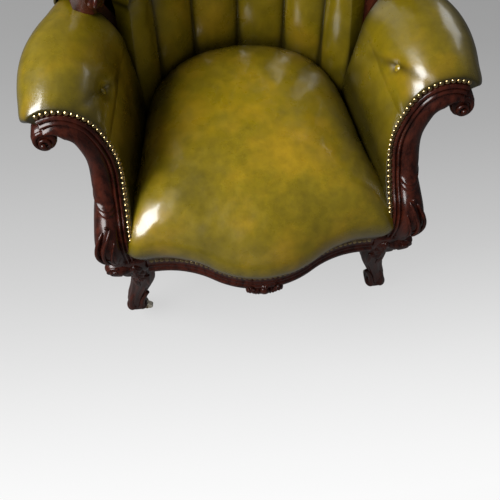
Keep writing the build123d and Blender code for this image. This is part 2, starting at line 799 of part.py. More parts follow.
def arm_board(grown):
    """Board inside the roll, from the facing to the stile."""
    wires = []
    for frame in arm_frames():
        low, high = arm_board_bottom - grown, arm_board_bottom + arm_board_height + grown
        inner, outer = -arm_board_inner - grown, arm_board_outer + grown
        wires.append(wire_of(on_arm(frame, inner, low), [
            on_arm(frame, outer, low), on_arm(frame, outer, high), on_arm(frame, inner, high),
            on_arm(frame, inner, low)]))
    return Solid.make_loft(wires, ruled=False) - before_lean(facing_depth - grown)


def button(radius, height):
    """Covered button: a low dome over a short drum, standing on its back at the origin, facing +Z."""
    rise = height * 0.6
    ball = (radius ** 2 + rise ** 2) / (2 * rise)
    low = math.degrees(math.asin((ball - rise) / ball))
    standing = (Align.CENTER, Align.CENTER, Align.MIN)
    drum = Cylinder(radius, height - rise, align=standing)
    return drum + Pos(0, 0, height - rise) * Sphere(ball, arc_size1=low, arc_size2=90, align=standing)


def facing_way(point, direction):
    """Place whose Z axis looks along a direction."""
    return Plane(origin=Vector(*point), z_dir=Vector(*direction)).location


def arm_tuft():
    """Place of the arm's button and the way it looks."""
    frame = arm_frames()[2]
    cosine, sine = turned(arm_button_angle)
    point = on_arm(frame, cosine * frame[3], roll_z + sine * frame[3])
    return point, (cosine, 0, sine)


def arm_pad():
    pad = arm_pad_loft() - before_lean(gap * 2)
    facing = deep(facing_band(facing_start - gap, nail_roll_radius - gap, nail_end_angle, 0))
    facing = facing + disc(volute_x, volute_z, volute_radius + gap)
    pad = pad - (facing & lean_slab(-overrun / 4, facing_depth + gap))
    pad = pad - arm_stump(gap) - arm_board(gap) - leg_block_solid(gap) - stile(gap)
    point, way = arm_tuft()
    inwards = tuple(-c for c in way)
    hollow = facing_way(point, inwards) * Cone(tuft_radius, button_radius, tuft_depth,
                                               align=(Align.CENTER, Align.CENTER, Align.MIN))
    lip = facing_way(point, way) * Cylinder(tuft_radius, tuft_depth,
                                            align=(Align.CENTER, Align.CENTER, Align.MIN))
    pad = pad - (hollow + lip)
    return max(pad.solids(), key=lambda s: s.volume)


def arm_button():
    point, way = arm_tuft()
    back = tuple(p - w * (tuft_depth - gap) for p, w in zip(point, way))
    return facing_way(back, way) * button(button_radius - gap, button_height)


# Seat frame
def back_block(grown):
    x, y, z = tub_point(stile_low_angle, rail_top, stile_low_depth)
    half = back_block_half + grown
    return Pos(x, y, (rail_bottom - leg_block_drop + rail_top) / 2) * Rot(0, 0, -stile_low_angle) * Box(
        2 * half, 2 * half, rail_height + leg_block_drop + 2 * grown)


def stile_wires(grown):
    wires = []
    for n in range(5):
        part = n / 4
        z = rail_top + (show_start_z - rail_top) * part
        angle = stile_low_angle + (stile_high_angle - stile_low_angle) * part
        depth = stile_low_depth + (stile_high_depth - stile_low_depth) * part
        x, y, z = tub_point(angle, z, depth)
        cosine, sine = turned(angle)
        half = back_stile_half + grown
        if n == 0:
            z -= grown
        corners = []
        for a, b in ((-1, -1), (1, -1), (1, 1), (-1, 1)):
            corners.append((x + half * (a * cosine + b * sine), y + half * (-a * sine + b * cosine), z))
        wires.append(wire_of(corners[0], corners[1:] + [corners[0]]))
    return wires


def stile(grown):
    return Solid.make_loft(stile_wires(grown), ruled=False)


def back_leg():
    """Outswept back leg, its block in the seat frame, and the stile above."""
    x, y, z = tub_point(stile_low_angle, rail_top, stile_low_depth)
    rise = rail_bottom - leg_block_drop - foot_z
    stations = []
    for up, inwards, forwards, full in back_leg_shares:
        stations.append((back_foot_x + (x - back_foot_x) * inwards, back_foot_y + (y - back_foot_y) * forwards,
                         foot_z + rise * up, back_leg_half * full))
    shaft = swept_leg(stations, side_bulge_share / 2)
    return shaft + back_block(0) + stile(0) - stem_bore(back_foot_x, back_foot_y)


def front_edge(off):
    """Right half of the serpentine front, moved forwards: start in the middle, then the steps."""
    bow_turn = math.radians(bow_angle)
    middle = (0, bow_centre_y - bow_radius - off, 0)
    r, h = bow_radius + off, hollow_radius - off
    half_way = (r * math.sin(bow_turn / 2), bow_centre_y - r * math.cos(bow_turn / 2), 0)
    join = (r * math.sin(bow_turn), bow_centre_y - r * math.cos(bow_turn), 0)
    hollow = (hollow_x - h * math.sin(bow_turn / 2), hollow_y + h * math.cos(bow_turn / 2), 0)
    end = (hollow_x, hollow_y + h, 0)
    return middle, half_way, join, hollow, end


def flip(point):
    return -point[0], point[1], point[2]


def serpentine(front_off, back_off, low, high):
    """Bar between two lines that follow the front, from one leg block to the other."""
    _, bow_f, join_f, hollow_f, end_f = front_edge(front_off)
    _, bow_b, join_b, hollow_b, end_b = front_edge(back_off)
    mid_f, mid_b = front_edge(front_off)[0], front_edge(back_off)[0]
    x = leg_block_inner_x
    steps = [(hollow_f, join_f), (mid_f, flip(join_f)), (flip(hollow_f), flip(end_f)), (-x, end_f[1], 0),
             (-x, end_b[1], 0), flip(end_b), (flip(hollow_b), flip(join_b)), (mid_b, join_b),
             (hollow_b, end_b), (x, end_b[1], 0), (x, end_f[1], 0)]
    return upright(face_of(end_f, steps), low, high)


def front_rail():
    rail = serpentine(0, -rail_thickness, rail_bottom, rail_top)
    rail = rail + serpentine(bead_reach, -rail_thickness / 2, rail_bottom, rail_bottom + bead_height)
    rail = rail + serpentine(fillet_reach, -rail_thickness / 2, rail_bottom + bead_height,
                             rail_bottom + bead_height + fillet_height)
    low = rail_bottom - cartouche_drop
    half, high = cartouche_half, cartouche_height
    shape = face_of((-half, 0, low + high * 0.3), [
        ((-half * 0.55, 0, low), (0, 0, low + high * 0.1)),
        ((half * 0.55, 0, low), (half, 0, low + high * 0.3)),
        ((half * 0.7, 0, low + high * 0.8), (half * 0.3, 0, low + high * 0.75)),
        ((0, 0, low + high), (-half * 0.3, 0, low + high * 0.75)),
        ((-half * 0.7, 0, low + high * 0.8), (-half, 0, low + high * 0.3))])
    block = deep(shape) & serpentine(cartouche_reach, -rail_thickness / 2, low, low + high)
    return rail + block


def side_rail():
    inner, outer = side_rail_circle(-rail_thickness / 2), side_rail_circle(rail_thickness / 2)
    plan = face_of(inner[0], [(inner[1], inner[2]), outer[2], (outer[1], outer[0]), inner[0]])
    bar = upright(plan, rail_bottom, rail_top)
    behind_leg = Pos(0, leg_block_back_y, 0) * Box(
        4 * overrun, 4 * overrun, 4 * overrun, align=(Align.CENTER, Align.MIN, Align.CENTER))
    bar = (bar & behind_leg) - back_block(0)
    return max(bar.solids(), key=lambda s: s.volume)


def back_rail():
    x, y, z = tub_point(stile_low_angle, rail_top, stile_low_depth)
    outer_y = tub_y(rail_top) + back_thickness - gap
    outward = back_block_half * 0.7
    outer_x, side_y = x + outward * math.sin(math.radians(stile_low_angle)), y + outward * 0.8
    inner_y = outer_y - rail_thickness
    plan = face_of((-outer_x, side_y, 0), [
        ((0, outer_y, 0), (outer_x, side_y, 0)), (x - overlap, y - overlap / 2, 0),
        ((0, inner_y, 0), (-x + overlap, y - overlap / 2, 0)), (-outer_x, side_y, 0)])
    bar = upright(plan, rail_bottom, rail_top)
    bar = bar - back_block(0) - mirror(back_block(0), about=Plane.YZ)
    return max(bar.solids(), key=lambda s: s.volume)


def front_corner_block():
    """Brace in the corner behind the front leg."""
    back_of_rail = rail_flat_y + rail_thickness
    start = (leg_block_inner_x - corner_block_reach, back_of_rail, 0)
    side_x = side_rail_x(leg_block_back_y + corner_block_reach, -rail_thickness / 2)
    near_x = side_rail_x(leg_block_back_y, -rail_thickness / 2)
    plan = face_of(start, [
        (leg_block_inner_x, back_of_rail, 0), (leg_block_inner_x, leg_block_back_y, 0),
        (near_x - gap, leg_block_back_y, 0), (side_x - gap, leg_block_back_y + corner_block_reach, 0), start])
    top = rail_top - corner_block_drop
    return upright(plan, top - corner_block_height, top)


# Seat: a closed outline at each height
def seat_outline(z, front_off, scale):
    middle, bow, join, hollow, end = front_edge(front_off)
    cosine, sine = turned(seat_back_angle)
    side_back = (seat_back_radius * sine, back_centre_y + seat_back_radius * cosine, 0)
    rear = (0, back_centre_y + seat_back_radius, 0)
    corner_front = (seat_corner_x - seat_corner_radius, end[1], 0)
    corner_side = (seat_corner_x, end[1] + seat_corner_radius, 0)
    corner = (seat_corner_x - seat_corner_radius * 0.29, end[1] + seat_corner_radius * 0.29, 0)
    side = (seat_side_mid_x, seat_side_mid_y, 0)
    steps = [(hollow, end), corner_front, (corner, corner_side), (side, side_back),
             (rear, flip(side_back)), (flip(side), flip(corner_side)), (flip(corner), flip(corner_front)),
             flip(end), (flip(hollow), flip(join)), (middle, join)]

    def place(p):
        return p[0] * scale, seat_centre_y + (p[1] - seat_centre_y) * scale, z

    placed = []
    for step in steps:
        placed.append((place(step[0]), place(step[1])) if isinstance(step[0], tuple) else place(step))
    return wire_of(place(join), placed)


seat_level_shares = [(0.0, 0.0, 1.0), (0.34, 1.0, 1.0), (0.62, 0.6, 1.0), (0.8, 0.0, 0.93), (0.93, 0.0, 0.78),
                     (1.0, 0.0, 0.5)]


def seat_cushion():
    wires = []
    for up, forward, scale in seat_level_shares:
        wires.append(seat_outline(pad_bottom + seat_crown_rise * up, seat_bulge * forward, scale))
    solid = Solid.make_loft(wires, ruled=False)
    pocket = upright(Face(seat_outline(0, 0, edge_roll_share)), 0, rail_top + hessian_rise)
    blocks = leg_block_solid(gap)
    return solid - pocket - blocks - mirror(blocks, about=Plane.YZ)


def spring():
    """Waisted coil spring: half turns, each a tilted arc, level at both ends."""
    height = hessian_rise - gap - hessian_thickness + rail_height - 2 * (spring_wire_radius + spring_gap)
    halves = 2 * spring_turns
    step = height / halves
    points = []
    for n in range(halves + 1):
        part = abs(n / halves - 0.5) * 2
        radius = spring_waist_radius + (spring_end_radius - spring_waist_radius) * part
        side = 1 if n % 2 == 0 else -1
        points.append((side * radius, 0, n * step))
    edges = []
    for n in range(halves):
        a, b = points[n], points[n + 1]
        reach = (abs(a[0]) + abs(b[0])) / 2
        turn = 1 if n % 2 == 0 else -1
        middle = ((a[0] + b[0]) / 2, turn * reach, (a[2] + b[2]) / 2)
        edges.append(Edge.make_three_point_arc(Vector(*a), Vector(*middle), Vector(*b)))
    path = Wire(edges)
    ring = Face(Wire(Edge.make_circle(spring_wire_radius, Plane(
        origin=points[0], z_dir=(0, 1, 0)))))
    return sweep(ring, path=path)


def seat_springs():
    coil = spring()
    start = spring_middle_y - spring_pitch_y * (spring_count - 1) / 2
    first = -spring_pitch_x * (spring_count - 1) / 2
    low = rail_bottom + spring_wire_radius + spring_gap
    return [Pos(first + spring_pitch_x * i, start + spring_pitch_y * j, low) * coil
            for i in range(spring_count) for j in range(spring_count)]


def frame_plan(share):
    """Plan of the seat frame, out to a share of the rails' thickness from their outer faces."""
    off = -rail_thickness * share
    middle, bow, join, hollow, end = front_edge(off)
    sides = side_rail_circle(rail_thickness / 2 + off)
    rear = (0, tub_y(rail_top) + back_thickness + off, 0)
    steps = [(hollow, end), (leg_block_inner_x, end[1], 0), (leg_block_inner_x, leg_block_back_y, 0), sides[0],
             (sides[1], sides[2]), (rear, flip(sides[2])), (flip(sides[1]), flip(sides[0])),
             (-leg_block_inner_x, leg_block_back_y, 0), (-leg_block_inner_x, end[1], 0), flip(end),
             (flip(hollow), flip(join)), (middle, join)]
    return face_of(join, steps)


def clear_of_blocks(shape):
    """Cut away what meets the legs' blocks."""
    for cut in (leg_block_solid(gap), back_block(gap)):
        shape = shape - cut - mirror(cut, about=Plane.YZ)
    return shape


def webbing():
    """Straps under the springs, two layers that cross, fixed to the rails' undersides."""
    plan = upright(frame_plan(web_end_share), 0, rail_top)
    straps = []
    for n in range(web_count):
        part = n - (web_count - 1) / 2
        pitch = spring_pitch_x * (spring_count - 1) / (web_count - 1)
        box = Pos(part * pitch, 0, rail_bottom) * Box(
            web_width, 4 * overrun, web_thickness, align=(Align.CENTER, Align.CENTER, Align.MAX))
        straps.append(clear_of_blocks(box & plan))
        pitch = spring_pitch_y * (spring_count - 1) / (web_count - 1)
        box = Pos(0, spring_middle_y + part * pitch, rail_bottom - web_thickness) * Box(
            4 * overrun, web_width, web_thickness, align=(Align.CENTER, Align.CENTER, Align.MAX))
        straps.append(clear_of_blocks(box & plan))
    return straps


def hessian():
    plan = Face(seat_outline(0, -overlap / 4, edge_roll_share - hessian_share))
    top = rail_top + hessian_rise - gap
    return upright(plan, top - hessian_thickness, top)


def bottom_cloth():
    """Cloth under the webbing, tacked through it to the rails."""
    top = rail_bottom - 2 * web_thickness
    return clear_of_blocks(upright(frame_plan(web_end_share), top - cloth_thickness, top))


def inside_back():
    wires = [flute_section(z, phase, puff) for z, phase, puff in back_levels()]
    pad = Solid.make_loft(wires, ruled=True)
    keep = side_of_seam(True, gap)
    pad = pad & keep & mirror(keep, about=Plane.YZ) & back_outline()
    pad = pad - show_frame(gap, overlap)
    for cut in [*both_sides(stile(gap)).values(), *both_sides(terminal(gap)).values()]:
        pad = pad - cut
    return max(pad.solids(), key=lambda s: s.volume)


def outside_back():
    wires = []
    for z, phase, puff in back_levels():
        start, there = outer_steps(z, gap, True)
        finish, back = outer_steps(z, gap + back_panel_thickness, False)
        wires.append(wire_of(start, there + [finish] + back + [start]))
    foot = Pos(0, 0, rail_bottom + overlap / 4 - pad_bottom) * wires[0]
    wires.insert(0, foot)
    skin = Solid.make_loft(wires, ruled=True)
    keep = side_of_seam(True, gap)
    skin = skin & keep & mirror(keep, about=Plane.YZ) & back_outline()
    skin = skin - show_frame(gap, 0)
    for cut in both_sides(back_block(gap)).values():
        skin = skin - cut
    return max(skin.solids(), key=lambda s: s.volume)


def crest_ornament():
    """Carved cresting in the middle: a raised shell with a scroll on each side."""
    x, y, z = tub_point(0, back_top_z, 0)
    half, rise = crest_ornament_half, crest_rise
    low = back_top_z
    shape = face_of((-half, 0, low), [
        ((-half * 0.8, 0, low + rise * 0.55), (-half * 0.5, 0, low + rise * 0.3)),
        ((-half * 0.36, 0, low + rise * 0.85), (-half * 0.17, 0, low + rise * 0.7)),
        ((0, 0, low + rise), (half * 0.17, 0, low + rise * 0.7)),
        ((half * 0.36, 0, low + rise * 0.85), (half * 0.5, 0, low + rise * 0.3)),
        ((half * 0.8, 0, low + rise * 0.55), (half, 0, low)),
        (0, 0, low - show_half), (-half, 0, low)])
    middle = y + show_depth_half - show_proud
    block = extrude(shape, amount=crest_ornament_depth, dir=(0, 1, 0))
    return Pos(0, middle - crest_ornament_depth / 2, 0) * block


def terminal(grown):
    """Round scroll that ends the show frame above the arm."""
    x, y, z = tub_point(stile_high_angle, show_start_z, stile_high_depth)
    cosine, sine = turned(stile_high_angle)
    scroll = Pos(x - sine * show_depth_half, y - cosine * show_depth_half,
                 z + terminal_radius) * Sphere(terminal_radius + grown)
    above = Pos(0, 0, show_start_z - grown) * Box(8 * overrun, 8 * overrun, 4 * overrun,
                                                  align=(Align.CENTER, Align.CENTER, Align.MIN))
    return scroll & above


def show_pieces():
    """The show frame cut into its crest and its two sides, with a scroll where each side lands."""
    whole = show_frame(0, 0)
    middle = Box(2 * crest_half, 8 * overrun, 8 * overrun)
    crest = (whole & middle) + crest_ornament()
    side = Pos(crest_half, 0, 0) * Box(4 * overrun, 8 * overrun, 8 * overrun,
                                       align=(Align.MIN, Align.CENTER, Align.CENTER))
    right = (whole & side) + terminal(0)
    return crest, both_sides(right)


# Nails: low domes that stand on their rims
def nail():
    ball = (nail_radius ** 2 + nail_height ** 2) / (2 * nail_height)
    low = math.degrees(math.asin((ball - nail_height) / ball))
    return Sphere(ball, arc_size1=low, arc_size2=90, align=(Align.CENTER, Align.CENTER, Align.MIN))


def arm_nails():
    """Nails along the edge of the leather, from the roll's end down to the seat."""
    dome = nail()
    off = facing_start - nail_radius - gap
    roll_r, neck_r = nail_roll_radius - off, nail_neck_radius - off
    roll_length = math.radians(nail_join_angle - nail_end_angle) * roll_r
    neck_length = math.radians(nail_low_angle - nail_join_angle) * neck_r
    low_x = neck_x + neck_r * math.cos(math.radians(nail_low_angle))
    nails = []
    place = nail_pitch / 2
    z = roll_z
    while True:
        if place < roll_length:
            x, _, z = around(roll_x, roll_z, roll_r, nail_end_angle + math.degrees(place / roll_r))
        elif place < roll_length + neck_length:
            x, _, z = around(neck_x, neck_z, neck_r, nail_join_angle + math.degrees((place - roll_length) / neck_r))
        else:
            x, z = low_x, z - nail_pitch * math.cos(math.radians(slope))
        y, slope = lean_y_at(z, gap)
        if z < pad_bottom + nail_radius * 2:
            return nails
        sine, cosine = math.sin(math.radians(slope)), math.cos(math.radians(slope))
        nails.append(facing_way((x, y, z), (0, -cosine, sine)) * dome)
        if place < roll_length + neck_length:
            place += nail_pitch * (cosine if z < arm_hollow_z else 1)


def rail_nails():
    """Nails along the front edge of the seat's leather."""
    dome = nail()
    z = rail_top - nail_radius - gap
    nails = []
    turn = math.radians(bow_angle)
    bow = bow_radius * turn
    hollow = hollow_radius * turn
    flat = leg_block_inner_x - hollow_x
    count = int((bow + hollow + flat - nail_radius) / nail_pitch)
    for n in range(-count, count + 1):
        run, side = abs(n) * nail_pitch, -1 if n < 0 else 1
        if run < bow:
            angle = run / bow_radius
            x, y = bow_radius * math.sin(angle), bow_centre_y - bow_radius * math.cos(angle)
        elif run < bow + hollow:
            angle = turn - (run - bow) / hollow_radius
            x, y = hollow_x - hollow_radius * math.sin(angle), hollow_y + hollow_radius * math.cos(angle)
        else:
            angle = 0
            x, y = hollow_x + run - bow - hollow, rail_flat_y
        way = (side * math.sin(angle), -math.cos(angle), 0)
        nails.append(facing_way((side * x + way[0] * gap, y + way[1] * gap, z), way) * dome)
    return nails


def back_buttons():
    """Buttons of the back, in rows whose places alternate, inside the show frame."""
    tie = Cylinder(button_tie_radius, button_tie_length, align=(Align.CENTER, Align.CENTER, Align.MIN))
    knob = tie + Pos(0, 0, button_tie_length) * button(button_radius - gap, button_height)
    buttons = []
    for z, phase, puff in back_levels():
        if phase == 0.5 or z < button_row_z or z > back_top_z:
            continue
        places = (-2, -1, 0, 1, 2) if phase == 0 else (-2.5, -1.5, -0.5, 0.5, 1.5, 2.5)
        edge = show_angle(z)
        for place in places:
            angle = tub_angle(seam_run(place), z)
            if abs(angle) > edge - tub_angle(show_half + button_radius * 2, z):
                continue
            point = tub_point(angle, z, -2 * gap)
            buttons.append(facing_way(point, back_way(angle, z)) * knob)
    return buttons


def back_way(angle, z):
    """The way the tub's inside looks at a place, square to its surface."""
    along = Vector(*tub_point(angle + 1, z, 0)) - Vector(*tub_point(angle - 1, z, 0))
    up = Vector(*tub_point(angle, z + button_radius, 0)) - Vector(*tub_point(angle, z - button_radius, 0))
    return tuple(along.cross(up).normalized())


def show_angle(z):
    """Angle of the show frame's centre line at a height."""
    stations = show_stations()
    table = [(h, a) for a, h, d in stations]
    if z < table[0][0]:
        return stile_high_angle
    return between(table, z)


def back_nails():
    """Nails along the inner edge of the show frame, square to its rounded face."""
    dome = nail()
    off = show_half - nail_radius - gap
    bow_radius_here = (show_half ** 2 + show_proud ** 2) / (2 * show_proud)
    fore = math.sqrt(bow_radius_here ** 2 - off ** 2)
    spots, ways = [], []
    for centre, inwards, front in show_places()[1:-1]:
        way = inwards * (off / bow_radius_here) + front * (fore / bow_radius_here)
        middle = centre + front * (show_depth_half + show_proud - bow_radius_here)
        spots.append(middle + way * (bow_radius_here + back_nail_lift))
        ways.append(way)
    line = Edge.make_spline(spots)
    chords = [(b - a).length for a, b in zip(spots, spots[1:])]
    marks = [sum(chords[:n]) * line.length / sum(chords) for n in range(len(spots))]
    half = line.length / 2
    count = int((half - nail_radius) / nail_pitch)
    nails = []
    for n in range(-count, count + 1):
        run = half + n * nail_pitch
        spot = line.position_at(run, position_mode=PositionMode.LENGTH)
        m = max(k for k in range(len(marks) - 1) if marks[k] <= run)
        part = (run - marks[m]) / (marks[m + 1] - marks[m])
        way = ways[m] * (1 - part) + ways[m + 1] * part
        nails.append(facing_way(tuple(spot), tuple(way)) * dome)
    return nails


# Frame
for side, leg in both_sides(front_leg()).items():
    save("front_leg_" + side, leg)
for side, leg in both_sides(back_leg()).items():
    save("back_leg_" + side, leg)
save("front_rail", front_rail())
for side, rail in both_sides(side_rail()).items():
    save("side_rail_" + side, rail)
save("back_rail", back_rail())
save("corner_blocks", *both_sides(front_corner_block()).values())
for side, post in both_sides(arm_stump(0)).items():
    save("arm_stump_" + side, post)
board = arm_board(0) - stile(gap)
for side, bar in both_sides(max(board.solids(), key=lambda s: s.volume)).items():
    save("arm_board_" + side, bar)

# Show wood
for side, wood in both_sides(arm_facing()).items():
    save("arm_facing_" + side, wood)
crest, sides = show_pieces()
save("crest_rail", crest)
for side, wood in sides.items():
    save("back_side_frame_" + side, wood)

# Upholstery
save("seat_cushion", seat_cushion())
save("inside_back", inside_back())
save("outside_back", outside_back())
for side, pad in both_sides(arm_pad()).items():
    save("arm_pad_" + side, pad)
for side, skin in both_sides(arm_panel()).items():
    save("outside_arm_" + side, skin)
save("seat_springs", *seat_springs())
save("seat_webbing", *webbing())
save("spring_hessian", hessian())
save("bottom_cloth", bottom_cloth())
save("back_buttons", *back_buttons())
save("arm_buttons", *both_sides(arm_button()).values())

# Nails
for side in ("right", "left"):
    save("arm_nails_" + side, *[both_sides(one)[side] for one in arm_nails()])
save("rail_nails", *rail_nails())
save("back_nails", *back_nails())

# Castors: where each stands and which way its wheel trails
castor_places = {"front_left": (-front_foot_x, front_foot_y, -8), "front_right": (front_foot_x, front_foot_y, 105),
                 "back_left": (-back_foot_x, back_foot_y, 75), "back_right": (back_foot_x, back_foot_y, 100)}
for corner, (foot_x, foot_y, heading) in castor_places.items():
    for piece, shape in castor(foot_x, foot_y, heading).items():
        save("castor_" + piece + "_" + corner, shape)
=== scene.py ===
# %% [markdown]
# # A button back easy chair
# This is a Victorian tub chair: a seat on springs, two rolled arms and a buttoned back, covered in hand
# dyed leather and framed in carved, polished wood. Its solids come from the frame, already in place and
# in metres. Where the real chair has leather, carving or moulding a solid is too plain to show it, so
# that part is drawn again here, as a surface given by a formula.
#
# The formulas are in millimetres, which are easy to picture on a chair, and each piece is turned into
# metres when it is made. X runs to the right as one faces the chair, Y to its back, and Z up.

# %% The frame and the size of the object
import json
import math

import bpy
import numpy as np
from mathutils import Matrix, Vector


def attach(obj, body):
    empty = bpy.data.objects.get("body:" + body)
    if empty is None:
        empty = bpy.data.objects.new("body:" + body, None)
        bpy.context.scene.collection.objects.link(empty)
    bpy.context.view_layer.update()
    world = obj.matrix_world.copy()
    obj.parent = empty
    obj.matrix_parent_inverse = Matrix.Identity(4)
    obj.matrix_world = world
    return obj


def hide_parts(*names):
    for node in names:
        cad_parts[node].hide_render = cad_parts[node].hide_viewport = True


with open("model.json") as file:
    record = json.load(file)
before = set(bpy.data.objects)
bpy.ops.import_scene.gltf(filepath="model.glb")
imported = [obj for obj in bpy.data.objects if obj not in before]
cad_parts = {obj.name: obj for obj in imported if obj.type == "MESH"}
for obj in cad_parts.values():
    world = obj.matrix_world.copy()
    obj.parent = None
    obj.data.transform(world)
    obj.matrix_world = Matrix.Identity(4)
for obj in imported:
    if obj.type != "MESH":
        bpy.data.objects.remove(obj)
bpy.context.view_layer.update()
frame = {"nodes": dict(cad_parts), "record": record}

MM = 0.001
MIRROR = np.array([-1.0, 1.0, 1.0])


# %% [markdown]
# ## Patches
# A surface in Blender is a mesh: points, and faces that join them. One could push points about by hand
# or stack modifiers, but leather over padding, a moulding and a carved leaf can all be had by bending a
# square sheet. So the building block here is the patch, a grid of points whose neighbours are joined by
# four-sided faces, and a piece is one object made of patches. numpy works out a whole grid at once,
# which is fast, and each shape stays a formula that a reader can change.
#
# Each point also carries a number of painted shade. The leather's material darkens where it is high, which
# paints shade into the colour: in folds and hollows, along edges and where parts meet.

# %% Patches and pieces
def patch(points, painted_shade=0.0, loop=False, towards=None):
    """Grid P[i, j] as (points, quads, painted shade of each point).

    A quad joins (i, j), (i + 1, j), (i + 1, j + 1) and (i, j + 1), and loop joins the last column to
    the first. The faces look away from the middle of the grid, or towards a given way."""
    n, m = points.shape[:2]
    a, b = np.meshgrid(np.arange(n - 1), np.arange(m if loop else m - 1), indexing="ij")
    b2 = (b + 1) % m
    quads = np.stack([a * m + b, (a + 1) * m + b, (a + 1) * m + b2, a * m + b2], -1).reshape(-1, 4)
    flat = points.reshape(-1, 3)
    d1, d2 = flat[quads[:, 2]] - flat[quads[:, 0]], flat[quads[:, 3]] - flat[quads[:, 1]]
    normal = np.cross(d1, d2)
    middle = flat[quads].mean(1)
    if towards is None:
        sign = ((middle - flat.mean(0)) * normal).sum()
    else:
        sign = (normal @ np.array(towards, float)).sum()
    if sign < 0:
        quads = quads[:, ::-1]
    if np.ndim(painted_shade):
        painted_shade = np.asarray(painted_shade, float).reshape(-1)
    return flat, quads, np.broadcast_to(painted_shade, (len(flat),))


def mirrored(patches):
    """The same patches on the left-hand side: x becomes -x, and each face is wound the other way round
    so that it still looks outwards."""
    return [(points * MIRROR, quads[:, ::-1], painted_shade) for points, quads, painted_shade in patches]


def piece(name, patches, look, nodes=(), body="chair"):
    """One object from patches. It stands for CAD nodes, which it hides, and rides on a body."""
    points, painted_shades = [np.concatenate([part[k] for part in patches]) for k in (0, 2)]
    starts = np.cumsum([0] + [len(part[0]) for part in patches])
    quads = np.concatenate([part[1] + start for part, start in zip(patches, starts)])
    mesh = bpy.data.meshes.new(name)
    mesh.from_pydata((points * MM).tolist(), [], quads.tolist())
    mesh.attributes.new("painted_shade", "FLOAT", "POINT").data.foreach_set("value", painted_shades.astype(np.float32))
    mesh.polygons.foreach_set("use_smooth", [True] * len(mesh.polygons))
    mesh.materials.append(look)
    thing = bpy.data.objects.new(name, mesh)
    bpy.context.scene.collection.objects.link(thing)
    if nodes:
        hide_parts(*nodes)
    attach(thing, body)
    return thing


print("a sheet of 4 by 4 points has", len(patch(np.zeros((4, 4, 3)))[1]), "faces")


# %% [markdown]
# ## Curves
# A joiner sets a shape out by a few measured points and bends a lath through them. The natural spline
# does the same in numbers, and serves wherever the photo gives only some points of a line. Straight
# interpolation would leave corners that polished wood and glossy leather show at once. The other tools
# here are a joiner's too: an arc through three points, points stepped off evenly, a profile run along a
# line, a bead and a bar.

# %% Curves through points
def natural(knots, values, at):
    """Natural cubic spline through values, one row per knot: a cubic between each pair of knots, with
    the same slope and bending where two meet, and no bending at the two ends."""
    x, y = np.asarray(knots, float), np.asarray(values, float)
    shape = y.shape[1:]
    y = y.reshape(len(x), -1)
    h = np.diff(x)
    a = np.zeros((len(x), len(x)))
    r = np.zeros_like(y)
    a[0, 0] = a[-1, -1] = 1
    for i in range(1, len(x) - 1):
        a[i, i - 1:i + 2] = h[i - 1], 2 * (h[i - 1] + h[i]), h[i]
        r[i] = 6 * ((y[i + 1] - y[i]) / h[i] - (y[i] - y[i - 1]) / h[i - 1])
    m = np.linalg.solve(a, r)
    at = np.asarray(at, float)
    k = np.clip(np.searchsorted(x, at) - 1, 0, len(x) - 2)
    t, u, w = (at - x[k])[:, None], (x[k + 1] - at)[:, None], h[k][:, None]
    out = (m[k] * u ** 3 + m[k + 1] * t ** 3) / (6 * w) + (y[k] / w - m[k] * w / 6) * u + (
        y[k + 1] / w - m[k + 1] * w / 6) * t
    return out.reshape(at.shape + shape)


def arc(p, q, r, count):
    """Points of the plane circle through p, q and r, from p to r. Its centre (ux, uy) is as far from
    each of the three."""
    (ax, ay), (bx, by), (cx, cy) = p, q, r
    d = 2 * (ax * (by - cy) + bx * (cy - ay) + cx * (ay - by))
    a2, b2, c2 = ax ** 2 + ay ** 2, bx ** 2 + by ** 2, cx ** 2 + cy ** 2
    ux = (a2 * (by - cy) + b2 * (cy - ay) + c2 * (ay - by)) / d
    uy = (a2 * (cx - bx) + b2 * (ax - cx) + c2 * (bx - ax)) / d
    begin, middle, end = [math.atan2(y - uy, x - ux) for x, y in (p, q, r)]
    span = (end - begin) % (2 * math.pi)
    if (middle - begin) % (2 * math.pi) > span:
        span -= 2 * math.pi
    a = begin + span * np.linspace(0, 1, count)
    radius = math.hypot(p[0] - ux, p[1] - uy)
    return np.stack([ux + radius * np.cos(a), uy + radius * np.sin(a)], -1)


def even(points, count, closed=False):
    """Points spaced evenly along the straight lines that join the given ones."""
    p = np.vstack([points, points[:1]]) if closed else np.asarray(points)
    run = np.concatenate([[0], np.cumsum(np.linalg.norm(np.diff(p, axis=0), axis=1))])
    at = np.linspace(0, run[-1], count, endpoint=not closed)
    return np.stack([np.interp(at, run, p[:, k]) for k in range(p.shape[1])], -1)


print("a spline through 0, 1 and 0 stands at", natural([0, 1, 2], [0, 1, 0], [0.5]), "at its quarter")


# %% Ways, waves and sweeps
def unit(v):
    """Vectors brought to a length of one."""
    return v / np.maximum(np.linalg.norm(v, axis=-1, keepdims=True), 1e-9)


def normals(points):
    """Unit normals of a grid: the cross product of its slopes along the rows and the columns."""
    return unit(np.cross(np.gradient(points, axis=0), np.gradient(points, axis=1)))


def smooth(t):
    """0 below 0, 1 above 1, and 3 t^2 - 2 t^3 between, which leaves and arrives level."""
    t = np.clip(t, 0, 1)
    return t * t * (3 - 2 * t)


WAVES = [(0.031, 0.017), (-0.019, 0.037), (0.053, -0.029), (0.023, 0.061), (-0.071, 0.041)]


def ripple(x, y, seed=0.0):
    """Gentle unevenness between -1 and 1: the sum of waves at odd angles, each weaker than the last."""
    total = 0
    for k, (a, b) in enumerate(WAVES):
        total = total + np.sin(a * x + b * y + 1.7 * k + seed) / (1 + 0.6 * k)
    return total / 2.4


def sweep(path, side, front, profile):
    """Profile carried along a path: each place is a point of the path, plus the profile's first offset
    along the side way there and its second along the front way."""
    s, f = profile[:, 0], profile[:, 1]
    return path[:, None] + side[:, None] * s[None, :, None] + front[:, None] * f[None, :, None]


